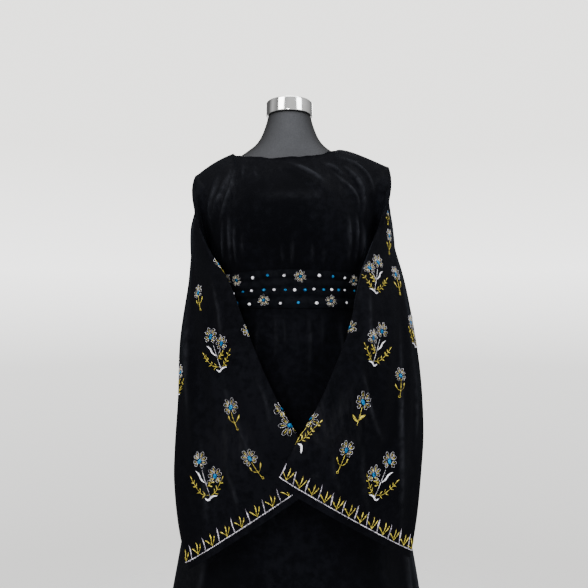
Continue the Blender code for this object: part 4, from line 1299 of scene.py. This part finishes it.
class Needlework:
    """Threads and satin pads sewn on one piece of cloth, gathered into one mesh."""

    def __init__(self, cloth):
        self.cloth = cloth
        self.points, self.faces, self.flat, self.threads = [], [], [], []
        self.count = 0

    def add(self, thread, places, normals, widths, heights, closed):
        """One stroke: a low rounded strip along places on the cloth."""
        if closed:
            ahead = np.roll(places, -1, axis=0) - np.roll(places, 1, axis=0)
        else:
            ahead = np.gradient(places, axis=0)
        side = unit(np.cross(unit(ahead), normals))
        section = np.array(THREAD_SECTION)
        spread = section[:, 0][None, :, None] * widths[:, None, None] * side[:, None]
        lift = section[:, 1][None, :, None] * heights[:, None, None] * normals[:, None]
        strip = places[:, None] + spread + lift
        length = np.linalg.norm(np.diff(places, axis=0, append=places[:1]), axis=1)
        run = np.concatenate(((0.0,), np.cumsum(length)))
        if closed:
            strip = np.concatenate((strip, strip[:1]))
        else:
            run = run[:-1]
        self.add_strip(thread, strip, run, np.linspace(0.0, 1.0, len(section)))

    def add_strip(self, thread, strip, run, round_it):
        """Rows of points joined by faces, with the thread's length and turn as their UV."""
        rows, columns = strip.shape[:2]
        grid = np.arange(rows * columns).reshape(rows, columns) + self.count
        quads = np.stack((grid[:-1, :-1], grid[:-1, 1:], grid[1:, 1:], grid[1:, :-1]), axis=-1)
        quads = quads.reshape(-1, 4)
        self.points.append(strip.reshape(-1, 3))
        self.faces.append(quads)
        flat = np.stack(np.broadcast_arrays(run[:, None], round_it), axis=-1)
        self.flat.append(flat.reshape(-1, 2))
        self.threads.append(np.full(len(quads), THREADS.index(thread)))
        self.count += rows * columns

    def sew(self, strokes, turn, along, lean=0.0, size=1.0, mirrored=False):
        """Lay a motif, a list of (thread, path, half width, height, closed) in millimetres."""
        scale = np.array((-size if mirrored else size, size)) * 0.001
        paths = [np.asarray(stroke[1]) * scale for stroke in strokes]
        places, normals = self.cloth.lay(turn, along, np.concatenate(paths), lean)
        start = 0
        for thread, path, width, height, closed in strokes:
            stop = start + len(path)
            order = slice(start, stop)
            widths = np.broadcast_to(np.asarray(width) * 0.001 * size ** 0.5, (len(path),))
            heights = np.broadcast_to(np.asarray(height) * 0.001, (len(path),))
            self.add(thread, places[order], normals[order], widths, heights, closed)
            start = stop

    def finish(self, name, finishes):
        """Join all that was sewn into one piece that rides on the body."""
        faces = np.concatenate(self.faces)
        mesh = bpy.data.meshes.new(name)
        mesh.from_pydata(np.concatenate(self.points).tolist(), [], faces.tolist())
        flat = np.concatenate(self.flat)[faces.ravel()]
        mesh.uv_layers.new(name="thread").data.foreach_set("uv", flat.ravel())
        for material in finishes:
            mesh.materials.append(material)
        mesh.polygons.foreach_set("material_index", np.concatenate(self.threads).astype(np.int32))
        mesh.shade_smooth()
        piece = bpy.data.objects.new(name, mesh)
        bpy.context.collection.objects.link(piece)
        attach(piece, "root")
        return piece


def bend(knots, count):
    """Smooth path of count points through a few given ones."""
    knots = np.array(knots, dtype=float)
    return Curve(np.linspace(0.0, 1.0, len(knots)), knots)(np.linspace(0.0, 1.0, count))


def tapered(count, full, sharpness=0.6):
    """Half widths of a stroke, thin at both ends and full between them."""
    return full * (0.12 + 0.88 * np.sin(np.linspace(0.04, math.pi - 0.04, count)) ** sharpness)


def flower(middle, radius, spin, kind="fan"):
    """Looped silver petals with gold in each, round a padded blue eye."""
    sizes = FLOWERS[kind]
    middle = np.array(middle, dtype=float)
    loop = 2 * math.pi * np.arange(PETAL_POINTS) / PETAL_POINTS
    away = (1.0 - np.cos(loop)) / 2
    start = PETAL_START * radius
    strokes = []
    for petal in range(sizes["petals"]):
        angle = math.radians(sizes["first"] + PETAL_TURN * petal)
        angle += 0.07 * math.sin(2.7 * petal + 5.0 * spin) + 0.3 * (spin - 0.5)
        ahead = np.array((math.sin(angle), math.cos(angle)))
        beside = np.array((ahead[1], -ahead[0]))
        reach = radius * (1.0 + 0.07 * math.sin(1.9 * petal + 3.0 * spin) + sizes["taller"] * ahead[1])
        out = start + (reach - start) * away
        broad = sizes["broad"] * radius * np.sin(loop) * away ** 0.4
        path = middle + out[:, None] * ahead + broad[:, None] * beside
        strokes.append(("silver", path, 0.21, 0.34, True))
        ray = middle + np.linspace(0.40, 0.80, 5)[:, None] * reach * ahead
        strokes.append(("gold", ray, tapered(5, sizes["ray"]), 0.45, False))
    across = np.linspace(-1.0, 1.0, 8)
    long = sizes["eye"] * radius
    tilt = 0.35 + 0.4 * math.sin(7.0 * spin)
    eye = middle + across[:, None] * long * np.array((math.sin(tilt), math.cos(tilt)))
    plump = np.sqrt(np.maximum(1.0 - across ** 2, 0.0)) * long * sizes["plump"] + 0.05
    strokes.append(("blue", eye, plump, 0.15 + plump * 0.34, False))
    return strokes


def leaf(base, tip, width):
    """Padded gold leaf between two points."""
    base, tip = np.array(base, dtype=float), np.array(tip, dtype=float)
    bow = 0.06 * np.array((tip[1] - base[1], base[0] - tip[0]))
    share = np.linspace(0.0, 1.0, 6)[:, None]
    path = base + (tip - base) * share + bow * np.sin(math.pi * share)
    return ("gold", path, tapered(6, width / 2, 0.8), tapered(6, LEAF_HEIGHT, 0.5), False)


def branch(knots, pairs, length, width=1.45):
    """Curved stem with pairs of leaves and one at its tip."""
    path = bend(knots, 13)
    strokes = [("gold", path, tapered(13, 0.38, 0.3), 0.40, False)]
    ahead = unit(np.gradient(path, axis=0))
    beside = np.stack((ahead[:, 1], -ahead[:, 0]), axis=1)
    for number in range(pairs):
        place = int(round(12 * (number + 0.7) / (pairs + 0.3)))
        reach = length * (1.0 - 0.08 * number)
        for side in (-1.0, 1.0):
            start = path[place] + beside[place] * side * 0.5
            way = ahead[place] * 0.66 + beside[place] * side * 0.75
            strokes.append(leaf(start, start + way * reach, width))
    strokes.append(leaf(path[-1], path[-1] + ahead[-1] * length, width))
    return strokes


def ribbon(knots, width):
    """Padded white ribbon, thin at both ends."""
    return ("white", bend(knots, 9), tapered(9, width / 2, 0.7), tapered(9, 0.75, 0.5), False)


def double_spray(spin, low):
    """Two flowers on one stem with white ribbons, leafy branches on both sides; low is how
    far the second flower hangs, 0 to 1."""
    second = np.array((-0.5, 46.0)) + np.array((5.0, -10.5)) * low
    strokes = [("silver", bend(((0, 0), (-6, 13), (-11, 24), (-19, 43)), 12), 0.32, 0.42, False),
               ("silver", bend(((-9, 20), (-7, 27), second + (-1.0, -9.0)), 7), 0.30, 0.42, False),
               ribbon(((-33, 40), (-25, 35), (-20, 28), (-12, 23)), 3.3),
               ribbon(((-9, -2), (-3, -5), (3.5, 2), (12, 4)), 3.4)]
    strokes += branch(((-3, 3), (-16, 4), (-29, 13), (-40, 23)), 4, 7.4)
    strokes += branch(((1, 3), (8, 10), (13, 20), (18, 32)), 3, 7.0)
    strokes += branch(((-8, 17), (-3, 21), (1, 29)), 2, 6.0, 2.0)
    strokes += flower((-26.5, 57.5), 14.0, spin)
    strokes += flower(second, 13.5, spin + 0.4)
    return strokes


def single_sprig(radius, spin, filled):
    """One flower on a curled stem with a leaf on each side, drawn about the flower."""
    strokes = [("gold", bend(((0, -radius * 0.5), (1, -20), (4, -38)), 9), 0.40, 0.46, False)]
    if filled:
        strokes += [leaf((3, -30), (-9, -19), 5.0), leaf((3, -32), (16, -22), 5.0)]
    else:
        curl = 2 * math.pi * np.arange(9) / 9
        ring = np.stack((5.2 + 2.0 * np.sin(curl), -39.5 + 2.0 * np.cos(curl)), axis=1)
        strokes += [("gold", ring, 0.38, 0.46, True)]
        strokes += [("gold", bend(((2, -28), (-4, -24), (-7, -19)), 5), 0.32, 0.42, False),
                    ("gold", bend(((2, -28), (7, -26), (10, -22)), 5), 0.32, 0.42, False)]
        strokes += [leaf((-7, -20), (-8, -13), 2.3), leaf((9, -23), (14, -15), 2.7)]
    strokes += flower((0, 0), radius, spin)
    return strokes


def leafy_edge():
    """Spray that lies along a sleeve's edge: two gold branches and a white leaf at the foot."""
    strokes = branch(((0, 0), (7, 14), (10, 28), (16, 46)), 5, 7.0, 2.2)
    strokes += branch(((-2, -6), (-2, 12), (0, 26), (1, 44)), 2, 4.5, 1.6)
    strokes += [ribbon(((2, -2), (7, -1), (11, -6), (14, -12)), 4.2)]
    return strokes


def thread_group():
    """Twisted thread: painted highlight and shade in bands that wind round it, made uneven along its
    length by painted glints and wear.
    """
    group, entry, end = new_group(
        "twisted_thread", {"Shade": "Color", "Light": "Color", "Twist": "Float"},
        {"Colour": "Color", "Roughness": "Float", "Height": "Float"})
    place = add_node(group, "TexCoord")
    run = add_node(group, "UVMap", uv_map="thread")
    parts = add_node(group, "SeparateXYZ")
    wound = add_node(group, "Math", operation="MULTIPLY")
    slant = add_node(group, "Math", {1: 5.0}, operation="MULTIPLY_ADD")
    bands = add_node(group, "Math", operation="SINE")
    wear_and_glints = add_noise(group, place, 330.0, 3.0)
    mixed = add_node(group, "Math", {1: 0.22}, operation="MULTIPLY_ADD")
    patchy = add_node(group, "MapRange", {"From Min": 0.40, "From Max": 0.60})
    mix = add_node(group, "Mix", data_type="RGBA", clamp_factor=True)
    rough = add_node(group, "MapRange", {"To Min": 0.24, "To Max": 0.52})
    wire(group, (run, 0, parts, 0), (parts, "X", wound, 0), (entry, "Twist", wound, 1),
         (parts, "Y", slant, 0), (wound, 0, slant, 2), (slant, 0, bands, 0), (bands, 0, mixed, 0),
         (wear_and_glints, "Fac", patchy, "Value"), (patchy, 0, mixed, 2), (wear_and_glints, "Fac", rough, "Value"),
         (mixed, 0, mix, "Factor"), (entry, "Shade", mix, 6), (entry, "Light", mix, 7),
         (mix, 2, end, "Colour"), (rough, 0, end, "Roughness"), (mixed, 0, end, "Height"))
    return group


twisted_thread = thread_group()


def thread_finish(name, shade, light, metallic, gloss, twist):
    """Metal or satin thread with painted highlight and shade wound round it, more tightly the higher its
    twist.
    """
    finish, tree, shader = new_finish(name, {"Metallic": metallic, "Specular IOR Level": gloss})
    thread = add_node(tree, "Group", node_tree=twisted_thread)
    for socket, value in (("Shade", (*shade, 1.0)), ("Light", (*light, 1.0)), ("Twist", twist)):
        thread.inputs[socket].default_value = value
    wire(tree, (thread, "Colour", shader, "Base Color"), (thread, "Roughness", shader, "Roughness"))
    add_bump(tree, shader, thread, "Height", 0.5, 0.0003)
    return finish


# Shade and light of each thread are painted shade and painted highlight colours, laid in bands along its
# twist.
thread_finishes = (
    thread_finish("silver_thread", (0.090, 0.085, 0.096), (0.80, 0.78, 0.82), 0.35, 0.30, 4200.0),
    thread_finish("gold_thread", (0.080, 0.060, 0.006), (0.58, 0.47, 0.050), 0.25, 0.30, 4200.0),
    thread_finish("blue_satin", (0.001, 0.018, 0.060), (0.006, 0.140, 0.320), 0.0, 0.05, 3000.0),
    thread_finish("white_satin", (0.22, 0.21, 0.24), (0.80, 0.79, 0.82), 0.0, 0.20, 3000.0),
    thread_finish("lilac_thread", (0.060, 0.054, 0.066), (0.50, 0.46, 0.53), 0.30, 0.30, 3600.0),
)

# Places of the motifs: degrees round the sleeve from its inner edge, share of its length,
# lean in degrees, then the motif's own sizes; spin turns its petals
LEFT_SPRAYS = table(
    "turn along lean size spin low",
    (76, 0.455, 0, 1.00, 0.5, 0.0),
    (114, 0.838, 4, 1.05, 0.4, 1.0),
    (175, 0.500, 4, 0.95, 0.6, 0.0),
    (232, 0.420, 2, 1.00, 0.2, 0.0),
    (280, 0.580, -6, 1.00, 0.5, 1.0),
    (246, 0.835, 3, 1.05, 0.8, 0.0),
)
LEFT_SPRIGS = table(
    "turn along lean radius spin size filled",
    (102, 0.270, -24, 13.5, 0.1, 0.98, False),
    (76, 0.565, -14, 14.5, 0.4, 1.00, False),
    (74, 0.765, -31, 14.5, 0.7, 1.00, False),
    (359, 0.152, -10, 12.5, 0.2, 0.90, False),
    (346, 0.360, -25, 13.0, 0.5, 0.90, False),
    (352, 0.620, -35, 14.0, 0.1, 1.00, False),
    (5, 0.690, -105, 17.5, 0.5, 1.00, False),
    (208, 0.200, 8, 13.0, 0.3, 0.95, False),
    (262, 0.250, -12, 13.0, 0.6, 0.95, False),
    (206, 0.650, 14, 14.0, 0.9, 1.00, False),
    (326, 0.800, -20, 14.0, 0.4, 1.00, False),
)


def sew_motifs(work, sprays, sprigs, mirrored):
    """Sew the sprays and sprigs of one sleeve, the right one's as in a mirror."""
    for row in sprays:
        motif = double_spray(row["spin"], row["low"])
        work.sew(motif, row["turn"], row["along"], row["lean"], row["size"], mirrored)
    for row in sprigs:
        motif = single_sprig(row["radius"], row["spin"], row["filled"])
        work.sew(motif, row["turn"], row["along"], row["lean"], row["size"], mirrored)


left_work = Needlework(Cloth(left_face, left_normals))
sew_motifs(left_work, LEFT_SPRAYS, LEFT_SPRIGS, False)
left_embroidery = left_work.finish("left_sleeve_embroidery", thread_finishes)


# Embroidery of the right sleeve. The same threads and motifs, worked the other way round,
# and a leafy spray along the inner edge, which lies on top of the left sleeve.
RIGHT_SPRAYS = table(
    "turn along lean size spin low",
    (56, 0.268, 2, 1.00, 0.5, 0.0),
    (70, 0.480, 2, 0.98, 0.4, 0.0),
    (147, 0.430, 4, 0.95, 0.2, 0.0),
    (104, 0.880, 8, 1.05, 0.5, 1.0),
    (236, 0.420, -2, 1.00, 0.3, 0.0),
    (282, 0.600, 6, 1.00, 0.6, 1.0),
    (240, 0.850, -3, 1.05, 0.9, 0.0),
)
RIGHT_SPRIGS = table(
    "turn along lean radius spin size filled",
    (84, 0.086, 4, 12.5, 0.2, 0.64, False),
    (94, 0.150, 8, 13.0, 0.5, 0.98, False),
    (111, 0.250, 4, 14.0, 0.7, 1.05, False),
    (69, 0.590, 14, 14.5, 0.3, 1.10, True),
    (109, 0.510, 3, 13.0, 0.3, 0.95, False),
    (70, 0.770, 22, 14.0, 0.6, 1.00, False),
    (352, 0.370, 18, 13.0, 0.9, 0.90, False),
    (352, 0.690, 30, 13.5, 0.4, 1.00, False),
    (210, 0.200, -8, 13.0, 0.4, 0.95, False),
    (262, 0.240, 12, 13.0, 0.7, 0.95, False),
    (206, 0.640, -14, 14.0, 0.1, 1.00, False),
)
EDGE_SPRAY = {"turn": 6, "along": 0.80, "lean": 24}
right_work = Needlework(Cloth(right_face, right_normals))
sew_motifs(right_work, RIGHT_SPRAYS, RIGHT_SPRIGS, True)
right_work.sew(leafy_edge(), EDGE_SPRAY["turn"], EDGE_SPRAY["along"], EDGE_SPRAY["lean"])
right_embroidery = right_work.finish("right_sleeve_embroidery", thread_finishes)


# Cuff borders. A rope of a silver and a lilac thread runs round each cuff a finger's width
# above its edge, with lilac satin spikes on it and a three-leaved gold sprig between them.
ROPE_FROM_EDGE = 0.013
ROPE_STEP = 0.0009
ROPE_PITCH = 0.0080
STRAND_RADIUS = 0.00042
STRAND_OFFSET = 0.00050
STRAND_SIDES = 6
SPIKE_TALL = 24.0
SPIKE_LEAN = 0.60
SPIKE_AHEAD = 0.004
LEFT_BORDER = {"spacing": 0.0330, "first": 151}
RIGHT_BORDER = {"spacing": 0.0255, "first": 2}


def cuff_line(cloth):
    """Rows and columns of the line that runs round the cuff at the rope's distance from it."""
    points = cloth.grid[..., :3]
    steps = np.linalg.norm(np.diff(points, axis=0), axis=-1)[::-1]
    from_edge = np.concatenate((np.zeros((1, cloth.columns)), np.cumsum(steps, axis=0)))
    rows = np.array([np.interp(ROPE_FROM_EDGE, from_edge[:, column], np.arange(cloth.rows))
                     for column in range(cloth.columns)])
    rows = cloth.rows - 1 - rows
    columns = np.arange(cloth.columns + 1)
    rows = np.append(rows, rows[0])
    places = cloth.at(rows, columns.astype(float))[:, :3]
    run = np.concatenate(((0.0,), np.cumsum(np.linalg.norm(np.diff(places, axis=0), axis=1))))
    return rows, columns, run


def add_rope(work):
    """Two strands that wind round each other along the cuff line."""
    rows, columns, run = cuff_line(work.cloth)
    turns = round(run[-1] / ROPE_PITCH)
    count = int(run[-1] / ROPE_STEP)
    share = np.arange(count) / count
    here = work.cloth.at(np.interp(share * run[-1], run, rows), np.interp(share * run[-1], run, columns))
    places, normals = here[:, :3], unit(here[:, 3:6])
    ahead = unit(np.roll(places, -1, axis=0) - np.roll(places, 1, axis=0))
    side = np.cross(ahead, normals)
    places = places + normals * STRAND_OFFSET
    around = (2 * math.pi * np.arange(STRAND_SIDES, -1, -1) / STRAND_SIDES)[None, :, None]
    for thread, start in (("silver", 0.0), ("lilac", math.pi)):
        wind = (2 * math.pi * turns * share + start)[:, None]
        middle = places + (np.cos(wind) * side + np.sin(wind) * normals) * STRAND_OFFSET
        round_it = np.cos(around) * side[:, None] - np.sin(around) * normals[:, None]
        tube = middle[:, None] + round_it * STRAND_RADIUS
        work.add_strip(thread, np.concatenate((tube, tube[:1])), np.append(share, 1.0) * run[-1],
                       np.linspace(1.0, 0.0, STRAND_SIDES + 1))


def spike(number, tall):
    """Padded lilac spike, a little bent and uneven."""
    share = np.linspace(0.0, 1.0, 8)
    path = np.stack((0.8 * np.sin(3.0 * share + number), 1.0 + tall * share), axis=1)
    width = 0.35 + 0.90 * np.sin(math.pi * share ** 1.3) * (1.0 + 0.3 * math.sin(1.7 * number))
    pointed = width * np.minimum(1.0, (1.0 - share) * 4.0 + 0.15)
    return [("lilac", path, pointed, 0.30 + 0.35 * width, False)]


def cuff_sprig(tall):
    """Three gold stems from one root, each with a leaf."""
    stems = (((0, 1), (0, 5), (0, 9)), ((0, 2), (-2, 5), (-5, 8)), ((0, 2), (2, 5), (4, 8)))
    strokes = [("gold", bend(knots, 4), 0.42, 0.45, False) for knots in stems]
    strokes += [leaf((0, 8), (0.6, 0.90 * tall), 2.1), leaf((-4.5, 7), (-11.5, 0.55 * tall), 2.1),
                leaf((3.5, 7.5), (8.5, 0.74 * tall), 2.0)]
    return strokes


def add_spikes(work, border):
    """Spikes and gold sprigs by turns round the cuff, standing on the rope."""
    cloth = work.cloth
    rows, columns, run = cuff_line(cloth)
    count = 2 * round(run[-1] / border["spacing"])
    first = np.interp(border["first"] / 360.0 * cloth.columns, columns, run)
    for number in range(count):
        places = (first + run[-1] * number / count + np.array((0.0, SPIKE_AHEAD))) % run[-1]
        row, column = np.interp(places, run, rows), np.interp(places, run, columns)
        here, after = cloth.at(row, column)
        normal, ahead = unit(here[3:6]), after[:3] - here[:3]
        up = unit(np.array((0.0, 0.0, 1.0)) - normal * normal[2])
        square = np.cross(normal, ahead)
        square = square if square @ up > 0 else -square
        lean = SPIKE_LEAN * math.degrees(math.atan2(square @ np.cross(up, normal), square @ up))
        tall = SPIKE_TALL * (1.0 + 0.06 * math.sin(2.3 * number))
        motif = spike(number, tall) if number % 2 == 0 else cuff_sprig(tall)
        work.sew(motif, column[0] / cloth.columns * 360.0, row[0] / (cloth.rows - 1), lean)


for sleeve_work, border, name in ((left_work, LEFT_BORDER, "left_cuff_border"),
                                  (right_work, RIGHT_BORDER, "right_cuff_border")):
    border_work = Needlework(sleeve_work.cloth)
    add_rope(border_work)
    add_spikes(border_work, border)
    border_work.finish(name, thread_finishes)


# Beadwork of the belt. Small round flowers and white and blue oval beads are sewn on in
# three rows, unevenly by hand in front and in even steps behind.
BEAD = {"white": 3.1, "blue": 3.0}
BELT_FLOWER = 11.4
# Beads in front: kind, degrees round from the middle, share of the belt's height from its top
FRONT_BEADS = (
    ("flower", -43.7, 0.21), ("white", -28.4, 0.18), ("blue", -17.0, 0.14), ("white", -5.2, 0.16),
    ("flower", 6.0, 0.18), ("white", 19.5, 0.14), ("blue", 30.2, 0.14), ("white", 41.0, 0.15),
    ("flower", 51.6, 0.19), ("white", -46.6, 0.58), ("blue", -37.4, 0.55), ("white", -29.7, 0.53),
    ("blue", -19.9, 0.52), ("white", -12.4, 0.52), ("blue", -4.3, 0.53), ("white", 2.1, 0.53),
    ("blue", 9.3, 0.53), ("white", 15.8, 0.50), ("blue", 23.3, 0.51), ("white", 29.5, 0.50),
    ("blue", 35.4, 0.50), ("white", 41.5, 0.49), ("blue", 52.7, 0.49), ("white", -30.8, 0.90),
    ("flower", -19.9, 0.79), ("white", -7.7, 0.88), ("blue", 4.6, 0.86), ("white", 17.7, 0.87),
    ("flower", 28.9, 0.81), ("white", 42.6, 0.85),
)
# Rows behind: share of the height, first and last place in degrees, count, kinds by turns
BEHIND_ROWS = table(
    "share first last count kinds",
    (0.17, 63.0, 305.0, 20, ("white", "blue", "white", "flower")),
    (0.51, 60.5, 306.0, 33, ("white", "blue")),
    (0.85, 55.5, 318.0, 21, ("blue", "white", "flower", "white")),
)


def bead(kind, number):
    """Slightly uneven oval bead of satin stitches."""
    size = BEAD[kind] * (1.0 + 0.10 * math.sin(1.7 * number))
    across = np.linspace(-1.0, 1.0, 7)
    round_it = np.sqrt(np.maximum(1.0 - across ** 2, 0.0))
    path = np.stack((across * size, 0.12 * size * across * math.sin(2.1 * number)), axis=1)
    return [(kind, path, round_it * size * 0.86 + 0.04, 0.10 + round_it * 1.25, False)]


def add_beadwork(cloth):
    """All beads and flowers of the belt in one piece, in front and behind."""
    work = Needlework(cloth)
    beads = list(FRONT_BEADS)
    for row in BEHIND_ROWS:
        for number, angle in enumerate(np.linspace(row["first"], row["last"], row["count"])):
            share = row["share"] + 0.012 * math.sin(2.6 * number)
            beads.append((row["kinds"][number % len(row["kinds"])], angle, share))
    for number, (kind, angle, share) in enumerate(beads):
        if kind == "flower":
            motif = flower((0, 0), BELT_FLOWER, 0.37 * number % 1.0, "round")
        else:
            motif = bead(kind, number)
        work.sew(motif, angle % 360.0, share)
    return work.finish("belt_beadwork", thread_finishes)


beadwork = add_beadwork(Cloth(belt_outer, belt_normals))
